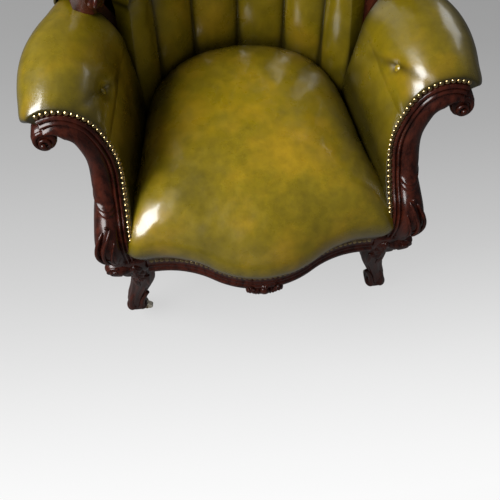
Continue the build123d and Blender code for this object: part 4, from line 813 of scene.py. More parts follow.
# Points lie closer together in front, where the leather bends most
steps = np.linspace(0, 1, 200) ** 1.25
arm = np.zeros((len(steps), dense.shape[1], 3))
start_y = np.zeros(dense.shape[1])
for v in range(dense.shape[1]):
    ys = np.maximum.accumulate(dense[:, v, 1] + dense_t * 1e-3)
    begin = ys[0]
    # Each round moves the cut to where the facing stands at the height found there
    for _ in range(6):
        begin = float(lean(np.interp(begin, ys, dense[:, v, 2])))
    begin = max(begin, ys[0])
    if v > OUTER_FROM:
        # On the outer side of the roll the leather's end slants back behind the scroll
        begin += SLANT * max(0.0, SLANT_TOP - float(np.interp(begin, ys, dense[:, v, 2])))
    start_y[v] = begin
    at = begin + (ys[-1] - begin) * steps
    arm[:, v] = np.stack([np.interp(at, ys, dense[:, v, 0]), at, np.interp(at, ys, dense[:, v, 2])], -1)
away = arm[..., 1] - start_y[None]
n = normals(arm)
n = n * np.sign(n[100, 80, 2])
print("arm lines", arm.shape)

# %% [markdown]
# What makes it look like leather is added along the surface's own normals: it swells just behind the
# nails that hold it, gathers into small pleats there, and is drawn in by one button with a slanting fold.
# Each is a hump or dent that dies away with distance, so each can be judged and changed by itself.

# %% Roll: swell behind the nails, gathers, and one tuft with a slanting crease
girth = np.concatenate([[0], np.cumsum(np.linalg.norm(np.diff(arm[60], axis=0), axis=1))])
PLAIN_SWELL, NAIL_SWELL, SWELL_NEAR, SWELL_FAR = 1.5, 5.0, 9, 70
roll_part = smooth((arm[..., 2] - 480) / 60)
swell = roll_part * (PLAIN_SWELL + NAIL_SWELL * (1 - np.exp(-away / SWELL_NEAR)) * np.exp(-away / SWELL_FAR))
# The front edge is rounded over by a quarter of a circle
EDGE_R = 4.0
corner = EDGE_R - np.sqrt(np.clip(EDGE_R ** 2 - np.clip(EDGE_R - away, 0, EDGE_R) ** 2, 0, EDGE_R ** 2))
GATHER_HIGH, GATHER_PITCH, GATHER_LONG = 0.8, 9.0, 12
gathers = GATHER_HIGH * roll_part * np.sin(girth / GATHER_PITCH)[None] ** 2
gathers = gathers * np.exp(-away / GATHER_LONG) * smooth(away / 6)
TUFT, DIMPLE_DEEP, DIMPLE_R = np.array([263.7, -77.0, 600.0]), 9.0, 19.0
distance = np.linalg.norm(arm - TUFT, axis=-1)
back_of_tuft = arm[..., 1] - TUFT[1]
round_from_tuft = (girth - girth[np.argmin(distance[60])])[None]
# The fold runs along FOLD_WAY, whose first share points to the back and whose second goes round the roll
FOLD_WAY, FOLD_DEEP, FOLD_WIDE, FOLD_OPENS, FOLD_LONG = (0.80, -0.60), 2.2, 6.0, 0.06, 62.0
along = back_of_tuft * FOLD_WAY[0] + round_from_tuft * FOLD_WAY[1]
across_line = back_of_tuft * -FOLD_WAY[1] + round_from_tuft * FOLD_WAY[0]
dimple = DIMPLE_DEEP * np.exp(-(distance / DIMPLE_R) ** 1.6)
fold = FOLD_DEEP * np.exp(-(across_line / (FOLD_WIDE + FOLD_OPENS * np.abs(along))) ** 2)
fold = fold * np.exp(-np.abs(along) / FOLD_LONG)
lift = swell - corner - gathers - dimple - fold + 0.7 * ripple(arm[..., 1] * 2, arm[..., 2] * 2, 3.0)
arm = arm + n * lift[..., None]

# %% Painted shade, and the arm as one piece
# Shade painted low on the inner side, behind the nails, at the joint with the back, under the roll, in the
# tuft and in its fold
# Painted shade laid over the whole arm, which darkens its colour as a whole
ARM_SHADE = 0.26
inner_side = np.arange(arm.shape[1])[None] < 80
low_shade = np.clip((560 - arm[..., 2]) / 130, 0, 1) ** 1.2 * 0.85 * inner_side
front_shade = 0.75 * np.exp(-away / 9)
joint_shade = 0.75 * np.exp(-(arm[-1:, :, 1] - arm[..., 1]) / 14)
under_shade = np.clip((604 - arm[..., 2]) / 40, 0, 1) * 0.6 * ~inner_side
tuft_shade = 0.9 * np.exp(-(distance / 9) ** 2)
painted_shade = np.maximum.reduce([low_shade, front_shade, joint_shade, under_shade, tuft_shade, fold * 0.3])
painted_shade = np.clip(painted_shade + ARM_SHADE, 0, 0.95)
# Both ends are closed by a ring drawn in towards the middle of the roll
centre_line = np.stack([np.interp(girth, [0, girth[-1]], [ROLL_X - 60, ROLL_X]),
                        0 * girth, np.interp(girth, [0, girth[59], girth[-1]], [340, ROLL_Z, ROLL_Z])], -1)
cap = arm[0] * 0.72 + centre_line * 0.28
cap[:, 1] = arm[0, :, 1] + 2.0
tail = arm[-1] * 0.8 + centre_line * 0.2
tail[:, 1] = arm[-1, :, 1] + 4.0
arm = np.concatenate([cap[None], arm, tail[None]])
arm_patches = [patch(arm, np.pad(painted_shade, ((1, 1), (0, 0)), mode="edge"))]


def pair(name, ending, patches, look):
    """The right-hand piece, and its mirror image on the left."""
    piece(name + "_right" + ending, patches, look, [name + "_right"])
    piece(name + "_left" + ending, mirrored(patches), look, [name + "_left"])


pair("arm_pad", "_dressed", arm_patches, leather)
print("arm pad", arm.shape)


# %% [markdown]
# ## Carved show wood
# The facing of an arm is one board, moulded along its inner edge beside the nails, ending in a scroll
# above and swelling into a carved leaf below. Sculpting it by brush is the usual way, but a brush can't
# be written down. A joiner would run the moulding with a scratch stock along the nail line, and that can
# be: every place is a run down the line, a distance outside it, and a reach in front of it.

# %% Nail line
NAIL_R, NECK_R, FOOT_RUN = 74.5, 227.0, 136.3
A0, A1, A2 = math.radians(63.0), math.radians(153.9), math.radians(186.0)
NECK = np.array([ROLL_X - (NECK_R - NAIL_R) * math.cos(A1), ROLL_Z - (NECK_R - NAIL_R) * math.sin(A1)])
# Lengths of the line round the roll and along the neck; below them it runs straight to the rail
L1, L2 = (A1 - A0) * NAIL_R, (A2 - A1) * NECK_R


def facing_at(s, off, reach):
    """Point at a run s down the nail line, off mm outside it and reach mm in front of it."""
    roll_a = A0 + np.minimum(s, L1) / NAIL_R
    roll = np.stack([ROLL_X + (NAIL_R - off) * np.cos(roll_a), ROLL_Z + (NAIL_R - off) * np.sin(roll_a)], -1)
    neck_a = A1 + np.clip(s - L1, 0, L2) / NECK_R
    neck = np.stack([NECK[0] + (NECK_R - off) * np.cos(neck_a),
                     NECK[1] + (NECK_R - off) * np.sin(neck_a)], -1)
    flat = np.where((s <= L1)[..., None], roll, neck)
    down = np.maximum(s - L1 - L2, 0)
    low_z = flat[..., 1]
    z = low_z - down * (low_z - RAIL_TOP) / FOOT_RUN
    return np.stack([flat[..., 0], lean(z, -reach), z], -1)


print("nail line", round(L1 + L2 + FOOT_RUN), "mm long")

# %% [markdown]
# Two narrow beads lie beside the nails and one broad band outside them. The band is taken in under the
# scroll and let out below, and lower down it carries relief: a double collar, and under it a leaf whose
# ribs run slantwise. Relief is added to the reach, as a carver leaves wood standing, so the whole facing
# stays one skin without joints.

# %% Facing: section and relief
# Each point is a distance outside the nails and a reach in front of them. The band lies outside BAND
section = np.array([(5.0, -20), (5.0, -1), (6.0, 3.2), (8.5, 5.2), (11.0, 3.4), (12.2, 1.8), (13.2, 4.0),
                    (15.6, 8.0), (18.2, 6.5), (19.6, 4.2), (21.0, 5.2), (26.0, 10.5), (33.0, 13.6),
                    (40.0, 13.0), (46.0, 9.8), (50.5, 4.6), (53.0, -2.0), (54.0, -10.0), (54.0, -22.0)])
BAND, BAND_WIDE = 20, 34
section = natural(np.linspace(0, 1, len(section)), section, np.linspace(0, 1, 120))
s_run = np.linspace(0, L1 + L2 + FOOT_RUN, 460)[:, None]
widen = 1 + 0.06 * np.sin(np.clip((s_run - L1) / 150, 0, 1) * np.pi) + 0.14 * smooth((s_run - L1 - 40) / 90)
taper = 0.35 + 0.65 * smooth(s_run / 60)
off = section[None, :, 0] * np.ones_like(s_run)
for share in (widen, taper):
    off = np.where(off > BAND, BAND + (off - BAND) * share, off)
reach = section[None, :, 1] * np.ones_like(s_run)
down = s_run - L1 - L2
band = np.clip((off - BAND) / BAND_WIDE, 0, 1)
collar = np.exp(-((down - 16) / 2.4) ** 2) + 0.55 * np.exp(-((down - 22.5) / 1.8) ** 2)
leaf_t = np.clip((down - 25) / 100, 0, 1)
swell_leaf = np.sin(np.pi * leaf_t ** 1.25) ** 0.75
ribs = np.cos(2 * np.pi * (1.9 * band - 1.15 * leaf_t - 0.12 * np.sin(2 * np.pi * leaf_t)))
inside_band = np.sin(np.pi * np.clip((off - 19) / 37, 0, 1)) ** 0.6
COLLAR_HIGH, LEAF_HIGH, RIB_HIGH, COLLAR_OUT, LEAF_OUT = 3.4, 6.0, 2.1, 1.8, 13.0
reach = reach + inside_band * (COLLAR_HIGH * collar + swell_leaf * (LEAF_HIGH + RIB_HIGH * ribs))
off = off + band ** 2 * (COLLAR_OUT * collar + LEAF_OUT * swell_leaf)
facing_patches = [patch(facing_at(s_run * np.ones_like(off), off, reach))]
print("facing", off.shape)


# %% [markdown]
# The scroll at the top of the facing is a volute: a bar that winds inwards round an eye, on a disc that
# swells forwards. A curve with a bevel could draw it, yet a tube along an exact spiral gives the bar its
# taper and its rise to the eye in the same line.

# %% Volute
def volute(centre, start, radius, turns, bar, rise):
    """Scroll that stands on the leaning facing, seen from the front. Its bar runs at an angle start
    minus turns t, and at a radius that shrinks as 1 - 0.82 t, while it rises and grows thinner."""
    t = np.linspace(0, 1, 130)
    a = start - turns * 2 * np.pi * t
    r = (radius - bar) * (1 - 0.82 * t)
    px, pz = centre[0] + r * np.cos(a), centre[1] + r * np.sin(a)
    py = lean(pz) - rise * (0.35 + 0.65 * t)
    eye = (centre[0], float(lean(centre[1])) - rise * 1.05, centre[1])
    disc_a, disc_r = np.meshgrid(np.linspace(0, 2 * np.pi, 48, endpoint=False), np.linspace(0, 1, 16))
    dz = centre[1] + radius * 0.97 * disc_r * np.sin(disc_a)
    dx = centre[0] + radius * 0.97 * disc_r * np.cos(disc_a)
    dome = lean(dz) - rise * 0.55 * np.sqrt(np.clip(1 - disc_r ** 4, 0, 1))
    back = np.stack([dx[-1:], lean(dz[-1:]) + 20, dz[-1:]], -1)
    disc = np.concatenate([np.stack([dx, dome, dz], -1), back])
    return [tube(np.stack([px, py, pz], -1), bar * (1 - 0.55 * t), 16),
            ball(eye, (bar * 1.1, bar, bar * 1.1)), patch(disc, loop=True, towards=(0, -1, 0))]


SCROLL_AT, SCROLL_R = (374.0, 585.0), 23.0
facing_patches += volute(SCROLL_AT, math.radians(120), SCROLL_R, turns=1.6, bar=5.2, rise=17.0)
print("scroll of radius", SCROLL_R, "mm at", SCROLL_AT)


# %% [markdown]
# Acanthus leaves turn up on the rail, the knees and the crest, in different sizes. Each is the same
# sheet: it has a spine, lobes along its edges, a groove down the middle and veins beside it, and its
# edges sink into the wood that it grows from. One function with a few measures makes them all, as a
# carver repeats a leaf.

# %% Leaf
def leaf(spine, side, front, width, height, lobes, veins, sink=5.0):
    """Ribbed sheet along a spine, whose side and front ways are given at each point. v runs across it
    from -1 to 1 and t along it. It stands up as 1 - |v|^2.4, with cosines for veins and a groove."""
    t = np.linspace(0, 1, len(spine))
    v = np.linspace(-1, 1, 41)
    tip = np.sqrt(np.clip(1 - (2 * t - 1) ** 6, 0, 1))
    half = width * tip * (0.62 + 0.38 * np.abs(np.sin(np.pi * lobes * t)) ** 0.7)
    v_, t_ = np.meshgrid(v, t)
    dome = (1 - np.abs(v_) ** 2.4)
    vein = 0.20 * np.cos(veins * 2 * np.pi * (t_ * 1.2 - 0.35 * np.abs(v_))) * (1 - np.abs(v_)) ** 0.4
    groove = -0.30 * np.exp(-(v_ / 0.10) ** 2)
    lift_ = height * (dome * (0.75 + vein) + groove) * tip[:, None] ** 0.5 - sink * np.abs(v_) ** 6 - sink * (
        1 - tip[:, None]) * 0.8
    p = spine[:, None] + side[:, None] * (half[:, None] * v_)[..., None] + front[:, None] * lift_[..., None]
    return patch(p, towards=front.mean(0))


def straight(a, b, side, front, count=60):
    """A straight spine from a to b, with the same side and front way all along it."""
    a, b = np.array(a, float), np.array(b, float)
    t = np.linspace(0, 1, count)[:, None]
    spine = a * (1 - t) + b * t
    return spine, np.broadcast_to(unit(np.array(side, float)), spine.shape), np.broadcast_to(
        unit(np.array(front, float)), spine.shape)


# %% Raised lines and a bead on the facing's leaf
def carve(curve, radius, count=70):
    """A round bar, half sunk, along a spline through (down, off, reach), thinning at both ends."""
    t = np.linspace(0, 1, count)
    drawn = natural(np.linspace(0, 1, len(curve)), curve, t)
    path = facing_at(L1 + L2 + drawn[:, 0], drawn[:, 1], drawn[:, 2])
    return tube(path, radius * np.clip(1 - np.abs(2 * t - 1) ** 5, 0.05, 1) ** 0.5, 12)


raised = [([(30, 33, 18.0), (42, 42, 21.5), (62, 52, 22.0), (84, 54, 21.0), (104, 46, 20.0)], 3.4),
          ([(36, 49, 15.5), (52, 61, 15.5), (76, 68, 13.5), (98, 63, 14.0), (114, 51, 16.0)], 4.0),
          ([(48, 29, 16.0), (66, 36, 20.0), (88, 41, 20.0), (108, 36, 18.5)], 2.8)]
facing_patches += [carve(curve, radius) for curve, radius in raised]
bead = facing_at(np.array(L1 + L2 + 30.0), np.array(41.0), np.array(17.5))
facing_patches.append(ball(bead, (3.6, 3.6, 3.6), rows=14, columns=18))
pair("arm_facing", "_carved", facing_patches, wood)
print("facing patches", len(facing_patches))

# %% [markdown]
# ### Front rail
# The rail under the seat is a moulding run along the same serpentine as the seat, so it is a profile
# swept along that line. In the middle it carries a small cartouche: a boss with leaves that spread to
# both sides, and curls over them. It is a few centimetres wide in the photo, so leaves from the
# function above are detail enough.

# %% Front rail: moulding along the serpentine
RAIL_LOW, RAIL_END = 283.0, 238.0
plan = even(serpentine(0.0), 150)
plan = np.vstack([plan, [[RAIL_END, FLAT_Y]]])
plan = np.vstack([plan[::-1] * MIRROR[:2], plan[1:]])
path = np.stack([plan[:, 0], plan[:, 1], np.full(len(plan), RAIL_LOW)], -1)
ahead = unit(np.gradient(path, axis=0))
out_way = np.cross(ahead, np.array([0, 0, 1.0]))
if out_way[len(path) // 2, 1] > 0:
    out_way = -out_way
rail_section = np.array([(-28, 0), (-10, 0), (4, 0.5), (8, 5.0), (8.6, 10), (7.6, 15.5), (4.6, 18.6),
                         (3.2, 20.0), (4.4, 23.0), (4.2, 26.0), (1.5, 28.5), (0.2, 34), (0, 42), (0, 49),
                         (-4, 51), (-28, 51), (-28, 30), (-28, 0)], float)
rail_section = even(rail_section, 90, closed=True)
up = np.broadcast_to(np.array([0, 0, 1.0]), out_way.shape)
rail_patches = [patch(sweep(path, out_way, up, rail_section), loop=True)]
print("front rail", round(np.linalg.norm(np.diff(plan, axis=0), axis=1).sum()), "mm along its front")

# %% Front rail: carved cartouche
BOSS_Y, LEAF_Y = FRONT_Y - 10, FRONT_Y - 8
rail_patches.append(ball((0, BOSS_Y, 281.0), (11.0, 8.0, 12.0)))
for sign in (-1, 1):
    fan = straight((sign * 8, LEAF_Y, 280.0), (sign * 40, LEAF_Y + 4, 284.0), (0, 0, 1), (0, -1, 0))
    rail_patches.append(leaf(*fan, 13.0, 9.0, 3, 4))
    low = straight((sign * 5, LEAF_Y, 270.0), (sign * 26, LEAF_Y + 3, 267.0), (0, 0, 1), (0, -1, 0))
    rail_patches.append(leaf(*low, 6.5, 7.0, 2, 3))
    t = np.linspace(0, 1, 60)
    a = math.pi / 2 + sign * 2 * np.pi * 0.9 * t
    curl = np.stack([sign * 31 + (9 - 6 * t) * np.cos(a), BOSS_Y + 0 * t, 292 + (9 - 6 * t) * np.sin(a)], -1)
    rail_patches.append(tube(curl, 2.6 - 1.2 * t, 12))
crown = straight((0, LEAF_Y, 288.0), (0, LEAF_Y + 3, 301.0), (1, 0, 0), (0, -1, 0))
rail_patches.append(leaf(*crown, 10.0, 7.0, 2, 3))
piece("front_rail_carved", rail_patches, wood, ["front_rail"])
print("front rail patches", len(rail_patches))


# %% [markdown]
# ### Front legs
# Each front leg is an easy S of square timber with its corners eased, ribbed in front, ending in two
# toes above the castor. Its knee is hidden by a lying scroll. The shaft is a pile of rounded squares
# whose place and size follow a spline, which holds the S and the ribs in one skin. Toes, scroll and
# leaf are bars, balls and a leaf sunk into it, as carving is left standing on a leg.

# %% Front legs: shaft
def squared(angle, power):
    """Radius of a square with rounded corners: (|cos a|^n + |sin a|^n)^(-1/n). It is a circle at a power
    of 2, and its corners grow sharper with the power."""
    return (np.abs(np.cos(angle)) ** power + np.abs(np.sin(angle)) ** power) ** (-1 / power)


# Middle of the foot, how far the knee stands in and back from it, and half the thickness
FOOT_X, FOOT_Y, FOOT_Z, KNEE_IN, KNEE_BACK, KNEE_Z, LEG_HALF = 298, -290, 43.5, 39, 14, 258, 24.0
# Share of the height, then of the lean outwards and backwards that is taken off, and of the thickness
leg_share = np.array([(0.0, 0.0, 0.0, 0.95), (0.14, 0.0, 0.1, 0.82), (0.36, 0.32, 0.45, 0.80),
                      (0.6, 0.72, 0.8, 0.97), (0.84, 1.0, 1.0, 1.12), (1.0, 0.95, 1.0, 1.16)])
u = np.linspace(0, 1, 110)
leg = natural(leg_share[:, 0], leg_share[:, 1:], u)
a = np.linspace(0, 2 * np.pi, 96, endpoint=False)
rib = 1 + 0.055 * np.cos(10 * a)[None] * np.sin(np.pi * np.clip(u, 0, 1))[:, None] ** 0.5
rad = LEG_HALF * leg[:, 2:] * squared(a, 3.2) * rib
shaft = np.stack([FOOT_X - KNEE_IN * leg[:, :1] + rad * np.cos(a),
                  FOOT_Y + KNEE_BACK * leg[:, 1:2] + rad * np.sin(a),
                  FOOT_Z + (KNEE_Z - FOOT_Z) * u[:, None] + 0 * rad], -1)
shaft = np.concatenate([shaft[:1] * 0 + shaft[:1].mean(1, keepdims=True), shaft])
leg_patches = [patch(shaft, loop=True)]
print("leg shaft", shaft.shape)

# %% Front legs: toes, knee block, scroll and leaf
TOE_OUT, BLOCK_X, BLOCK_Y, BLOCK_HALF = 12, 269, -275, 31
for sign in (-1, 1):
    leg_patches.append(ball((FOOT_X + sign * TOE_OUT, FOOT_Y - 11, FOOT_Z + 13), (13.0, 16.0, 13.0)))
    t = np.linspace(0, 1, 40)
    toe = np.stack([FOOT_X + sign * (TOE_OUT + 3 * t) - 20 * t ** 2, FOOT_Y - 19 + 12 * t,
                    FOOT_Z + 14 + 66 * t], -1)
    leg_patches.append(tube(toe, 8.0 - 3.6 * t, 12))
    knee = np.stack([262 + sign * (14 - 3 * t), -301 - 4 * np.sin(np.pi * t), 250 - 70 * t], -1)
    leg_patches.append(tube(knee, 6.0 * np.sqrt(np.clip(1 - t ** 3, 0.02, 1)), 12))
b = np.linspace(0, 2 * np.pi, 72, endpoint=False)
levels = np.array([(256, 0.0), (256, 0.9), (259, 1.0), (296, 1.0), (330, 1.0), (334, 0.96), (334, 0.0)])
out = BLOCK_HALF * levels[:, 1:] * squared(b, 6)
block = np.stack([BLOCK_X + out * np.cos(b), BLOCK_Y + out * np.sin(b), levels[:, :1] + 0 * out], -1)
leg_patches.append(patch(block, loop=True))
# Knee scroll: a lying lobe with two ribs that curl round its outer end
lobe_at, lobe_size = np.array([298.0, -297.0, 300.0]), np.array([31.0, 20.0, 19.0])
leg_patches.append(ball(lobe_at, lobe_size, rows=36, columns=48))
for gap, thick in ((1.0, 3.2), (0.62, 2.8)):
    t = np.linspace(0, 1, 60)
    a = math.radians(105) - math.radians(250) * t
    x, z = 304 + 19 * gap * np.cos(a), 300 + 15.5 * gap * np.sin(a)
    inside_lobe = 1 - ((x - lobe_at[0]) / lobe_size[0]) ** 2 - ((z - lobe_at[2]) / lobe_size[2]) ** 2
    y = lobe_at[1] - lobe_size[1] * np.sqrt(np.clip(inside_lobe, 0.02, 1))
    leg_patches.append(tube(np.stack([x, y, z], -1), thick * (1 - 0.6 * t), 12))
side_spine = straight((266, -308.0, 318.0), (262, -306.0, 226.0), (1, 0, 0), (0, -1, 0.1))
leg_patches.append(leaf(*side_spine, 17.0, 8.0, 3, 4))
pair("front_leg", "_carved", leg_patches, wood)
print("leg patches", len(leg_patches))

# %% [markdown]
# ### Show frame of the back
# The photo cuts this off, so it follows chairs of the same kind: a broad moulding that sweeps from arm to
# arm over the back, jointed on each side of a carved crest. The moulding is the tub's own line swept with
# a profile, then cut at the two joints, because each length is a node of its own. The crest is a fan of
# leaves with waves and curls to its sides, all set out from the top of the line.

# %% Show frame: moulding
moulding = np.array([(20, -18), (20, 8), (19, 19.5), (15, 22.5), (10.5, 20.5), (7.5, 17), (3, 18.5),
                     (-4, 23.0), (-11, 25.2), (-16.5, 22.5), (-19.4, 16), (-20, 6), (-20, -18),
                     (0, -18)], float)
moulding = even(moulding, 80, closed=True)
body_of_frame = sweep(line, inward, front, moulding)
CREST_HALF = 140.0
half = len(line) // 2
left_end = int(np.argmin(np.abs(line[:half, 0] + CREST_HALF)))
right_end = len(line) - 1 - left_end
crest_patches = [patch(body_of_frame[left_end:right_end + 1], loop=True)]
side_patches = [patch(body_of_frame[right_end:], loop=True)]
print("crest between", left_end, "and", right_end)

# %% Show frame: carved crest
CREST_REACH, FAN_STEP = (20, 27, 33, 37, 33, 27, 20), 21
base = line[half]
for k, reach_k in zip(range(-3, 4), CREST_REACH):
    tilt = math.radians(k * FAN_STEP)
    tip_at = base + np.array([math.sin(tilt) * reach_k * 1.1, -6.0, math.cos(tilt) * reach_k])
    foot_at = base + np.array([math.sin(tilt) * 6, -14.0, 0.0])
    fan = straight(foot_at, tip_at, (math.cos(tilt), 0, -math.sin(tilt)), (0, -1, 0.1), 40)
    crest_patches.append(leaf(*fan, 8.5, 10.0, 1, 2))
crest_patches.append(ball(base + np.array([0, -16.0, -2.0]), (13.0, 9.0, 11.0)))
for sign in (-1, 1):
    t = np.linspace(0, 1, 90)
    wave = np.stack([sign * (14 + 82 * t), base[1] - 12 - 5 * t,
                     base[2] + 10 + 14 * np.sin(2.6 * np.pi * t) * (1 - t) - 8 * t ** 2], -1)
    crest_patches.append(tube(wave, 7.5 - 4.5 * t, 14))
    a = math.pi / 2 - sign * 2 * np.pi * 1.2 * t
    curl = np.stack([base[0] + sign * 48 + (13 - 9 * t) * np.cos(a), base[1] - 18 + 0 * t,
                     base[2] + 10 + (13 - 9 * t) * np.sin(a)], -1)
    crest_patches.append(tube(curl, 4.2 - 2.0 * t, 12))
    side_leaf = straight(base + np.array([sign * 56, -18, 4.0]), base + np.array([sign * 100, -22.0, -10.0]),
                         (0, 0, 1), (0, -1, 0))
    crest_patches.append(leaf(*side_leaf, 11.0, 8.0, 3, 4))
piece("crest_rail_carved", crest_patches, wood, ["crest_rail"])
print("crest patches", len(crest_patches))

# %% Show frame: scrolls where it lands on the arms
foot_end = tub(np.array(FOOT_ANGLE), np.array(FOOT_HEIGHT), np.array(FOOT_DEPTH))
cos_foot, sin_foot = math.cos(math.radians(FOOT_ANGLE)), math.sin(math.radians(FOOT_ANGLE))
knob = foot_end + np.array([-sin_foot * 18, -cos_foot * 18, 19.0])
side_patches.append(ball(knob, (17.0, 19.0, 19.0)))
t = np.linspace(0, 1, 80)
a = 2 * np.pi * 1.4 * t
swing, rise = (17 - 12 * t) * np.cos(a), (17 - 12 * t) * np.sin(a)
coil = knob + np.stack([-sin_foot * 12 + cos_foot * swing, -cos_foot * 12 - sin_foot * swing, rise], -1)
side_patches.append(tube(coil, 4.6 - 2.0 * t, 12))
pair("back_side_frame", "_carved", side_patches, wood)
print("side frame patches", len(side_patches))

# %% [markdown]
# ## The outside back
# One hide covers the back from the rail to the show frame. Offsetting the tub would leave gaps at the
# arms. So at each height the hide is a half oval, stretched between two ends that are known: they
# follow the seam with the outside arm, then the shoulder behind the roll, then the rear of the show
# frame, so that no edge stands free. A lining closes it, because an open sheet shows its wrong side.

# %% Outside back: its two ends
rear_edge = line + inward * 4.0 - front * 16.0
rear_half = rear_edge[right_half]
climb = np.argsort(rear_half[:, 2])
seam_z = np.array([271.0, 334.0, 404.0, 446.0, 480.0, 520.0, 556.0, 600.0, 618.0, 640.0, 673.0])
seam_x = np.array([271.0, 272.0, 297.0, 307.0, 321.0, 334.0, 345.0, 357.0, 352.0, 341.0, 322.0])
seam_y = SEAM_Y + (seam_x - SEAM_X) * math.tan(SEAM_TURN)
high = rear_half[climb][rear_half[climb][:, 2] > 715]
end_z = np.concatenate([seam_z, high[:, 2]])
end_x = np.concatenate([seam_x, high[:, 0]])
end_y = np.concatenate([seam_y, high[:, 1]])
print("outside back from", seam_z[0], "to", round(end_z[-1], 1), "mm")

# %% Outside back: hide and lining
# Its rows crowd together above TURN_Z, as the inside's do. Below the rail's top its middle is upright
HIDE_FOOT, TURN_Z, TURN_AT, UPRIGHT_Y = 271.0, 760.0, 0.6, 217.0
TOP_PUFF, MORE_PUFF, LINING_IN = 20, 42, 5.0
t = np.linspace(0, 1, 200)
low_rows = HIDE_FOOT + (TURN_Z - HIDE_FOOT) * t / TURN_AT
high_rows = TURN_Z + (end_z[-1] - TURN_Z) * np.sin((t - TURN_AT) / (1 - TURN_AT) * np.pi / 2)
back_rows = np.where(t < TURN_AT, low_rows, high_rows)
ex, ey = np.interp(back_rows, end_z, end_x), np.interp(back_rows, end_z, end_y)
puff = TOP_PUFF + MORE_PUFF * np.sqrt(np.clip((end_z[-1] - back_rows) / 150, 0, 1))
middle_y = np.where(back_rows < RAIL_TOP, UPRIGHT_Y, SPINE_Y + (back_rows - SPINE_Z) * RAKE + puff)
turned = np.linspace(-np.pi / 2, np.pi / 2, 160)
bow_x = ex[:, None] * np.sin(turned)
bow_y = ey[:, None] + (np.maximum(middle_y, ey) - ey)[:, None] * np.cos(turned) ** 0.85
hide = np.stack([bow_x, bow_y, back_rows[:, None] + 0 * bow_x], -1)
lining = hide[:, ::-1] * np.array([0.985, 1, 1]) - np.array([0, LINING_IN, 0])
rims = [np.concatenate([row[:, ::-1], row], axis=1) for row in (lining[:1], lining[-1:])]
shell = np.concatenate([rims[0], np.concatenate([hide, lining], axis=1), rims[1]])
# Painted shade: darker where the hide turns to the sides, and dark on the lining inside
wear_and_shade = np.concatenate([0.30 + 0.5 * np.abs(np.sin(turned)) ** 12, 0.9 + 0 * turned])
hide_patch = patch(shell, np.broadcast_to(wear_and_shade, shell.shape[:2]), loop=True)
piece("outside_back_dressed", [hide_patch], leather, ["outside_back"])
print("outside back", shell.shape)


# %% [markdown]
# ## Studio
# The photo was taken on a white sweep that runs from near white below the chair to grey behind it. Light
# that made such a floor white would wash out the dark wood and leather. So the floor's tone is an
# emission, set by how far back a place lies, that only the camera sees. What shines sees an eighth of
# it, as polished wood picks up a little of a pale floor, and nothing is lit by it. Under the glow the
# floor is an ordinary dark surface, on which the chair's shadow falls.

# %% Floor
FLOOR_GLOW, GLOSSY_SHARE = 0.90, 0.13
bpy.ops.mesh.primitive_plane_add(size=60.0, location=(0, 0, 0))
floor = bpy.context.object
floor.name = "floor"
made, nodes, links, shader, coord = new_material("floor")
split = nodes.new("ShaderNodeSeparateXYZ")
links.new(coord, split.inputs[0])
scaled = nodes.new("ShaderNodeMapRange")
NEAR_Y, FAR_Y = -24.0, 0.75
scaled.inputs["From Min"].default_value = NEAR_Y
scaled.inputs["From Max"].default_value = FAR_Y
links.new(split.outputs["Y"], scaled.inputs["Value"])
FAR_TONE = 0.32
floor_tones = [(-24.0, FAR_TONE), (-6.0, 0.70), (-0.95, 1.0), (-0.772, 1.0), (-0.55, 0.87), (-0.43, 0.78),
               (-0.30, 0.69), (-0.158, 0.60), (0.15, 0.455), (0.47, 0.356), (0.708, FAR_TONE)]
tone = ramp(nodes, links, scaled.outputs[0],
            [((y - NEAR_Y) / (FAR_Y - NEAR_Y), (FLOOR_GLOW * v,) * 3) for y, v in floor_tones])
light_path = nodes.new("ShaderNodeLightPath")
seen = nodes.new("ShaderNodeMath")
seen.operation = "MULTIPLY_ADD"
links.new(light_path.outputs["Is Glossy Ray"], seen.inputs[0])
seen.inputs[1].default_value = GLOSSY_SHARE
links.new(light_path.outputs["Is Camera Ray"], seen.inputs[2])
shader.inputs["Base Color"].default_value = (0.06, 0.06, 0.06, 1)
shader.inputs["Roughness"].default_value = 0.9
shader.inputs["Specular IOR Level"].default_value = 0.0
links.new(tone, shader.inputs["Emission Color"])
links.new(seen.outputs[0], shader.inputs["Emission Strength"])
floor.data.materials.append(made)
print("floor tones", len(floor_tones))

# %% [markdown]
# ### Light
# The white shine on the seat's left corner and on the left roll shows one large soft window on the left,
# above and beside the chair. That is the key light. A wide, weak one in front models the leather, and is
# hidden from reflections because the photo shows none of it. A small one behind on the right lifts the
# edges. The room itself gives almost nothing.

# %% World
world = bpy.data.worlds.new("studio")
world.use_nodes = True
sky, sky_links = world.node_tree.nodes, world.node_tree.links
sky["Background"].inputs["Color"].default_value = (0.90, 0.93, 1.0, 1)
sky["Background"].inputs["Strength"].default_value = 0.10
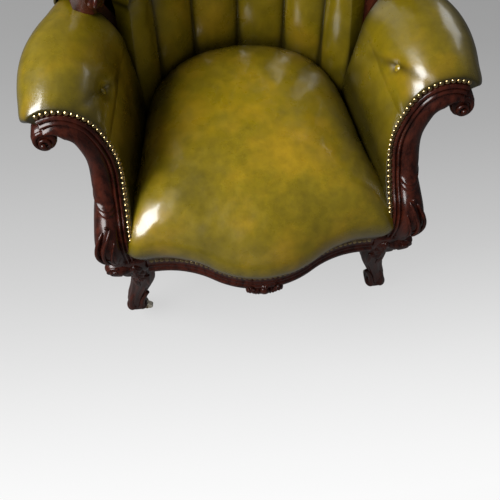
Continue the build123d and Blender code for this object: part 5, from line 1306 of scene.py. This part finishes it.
# Seen straight on, the room beyond the floor has the tone of the floor's far end
backdrop = sky.new("ShaderNodeBackground")
backdrop.inputs["Color"].default_value = (FAR_TONE, FAR_TONE, FAR_TONE, 1)
backdrop.inputs["Strength"].default_value = FLOOR_GLOW
which = sky.new("ShaderNodeMixShader")
sky_links.new(sky.new("ShaderNodeLightPath").outputs["Is Camera Ray"], which.inputs[0])
sky_links.new(sky["Background"].outputs[0], which.inputs[1])
sky_links.new(backdrop.outputs[0], which.inputs[2])
sky_links.new(which.outputs[0], sky["World Output"].inputs["Surface"])
bpy.context.scene.world = world
print("world", world.name)


# %% Lights
def area(name, place, target, size, power, color=(1, 1, 1)):
    """A rectangular light of a power in watts, turned to look at a target."""
    data = bpy.data.lights.new(name, "AREA")
    data.shape = "RECTANGLE"
    data.size, data.size_y = size
    data.energy = power
    data.color = color
    thing = bpy.data.objects.new(name, data)
    bpy.context.scene.collection.objects.link(thing)
    thing.location = place
    way = np.array(target, float) - np.array(place, float)
    thing.rotation_euler = Vector(way).to_track_quat("-Z", "Y").to_euler()
    return thing


area("key", (-1.75, -0.30, 2.05), (-0.1, -0.2, 0.45), (1.5, 1.3), 92.0)
front_light = area("front", (-0.4, -3.0, 1.6), (0, -0.1, 0.45), (2.6, 1.5), 30.0, (1.0, 0.99, 0.97))
front_light.visible_glossy = False
area("fill", (1.6, 1.3, 1.7), (0.1, -0.1, 0.5), (0.9, 0.9), 6.0, (0.95, 0.97, 1.0))

# %% [markdown]
# ### Camera
# The chair is seen from above and a little to its left, so close that the back runs out of the picture.
# The camera's place, turn and lens were fitted to points of the chair that lie alike on both sides, and
# are written here as found. Standard view keeps the colours as they are, without a film look.

# %% Camera
lens = bpy.data.cameras.new("camera")
lens.lens = 43.62
lens.sensor_width = 36.0
camera = bpy.data.objects.new("camera", lens)
camera.location = (-0.099, -0.772, 1.493)
camera.rotation_euler = tuple(math.radians(v) for v in (22.34, -1.12, -6.31))
bpy.context.scene.collection.objects.link(camera)
scene = bpy.context.scene
scene.camera = camera
scene.view_settings.view_transform = "Standard"
print("camera", tuple(round(v, 3) for v in camera.location), "lens", lens.lens)
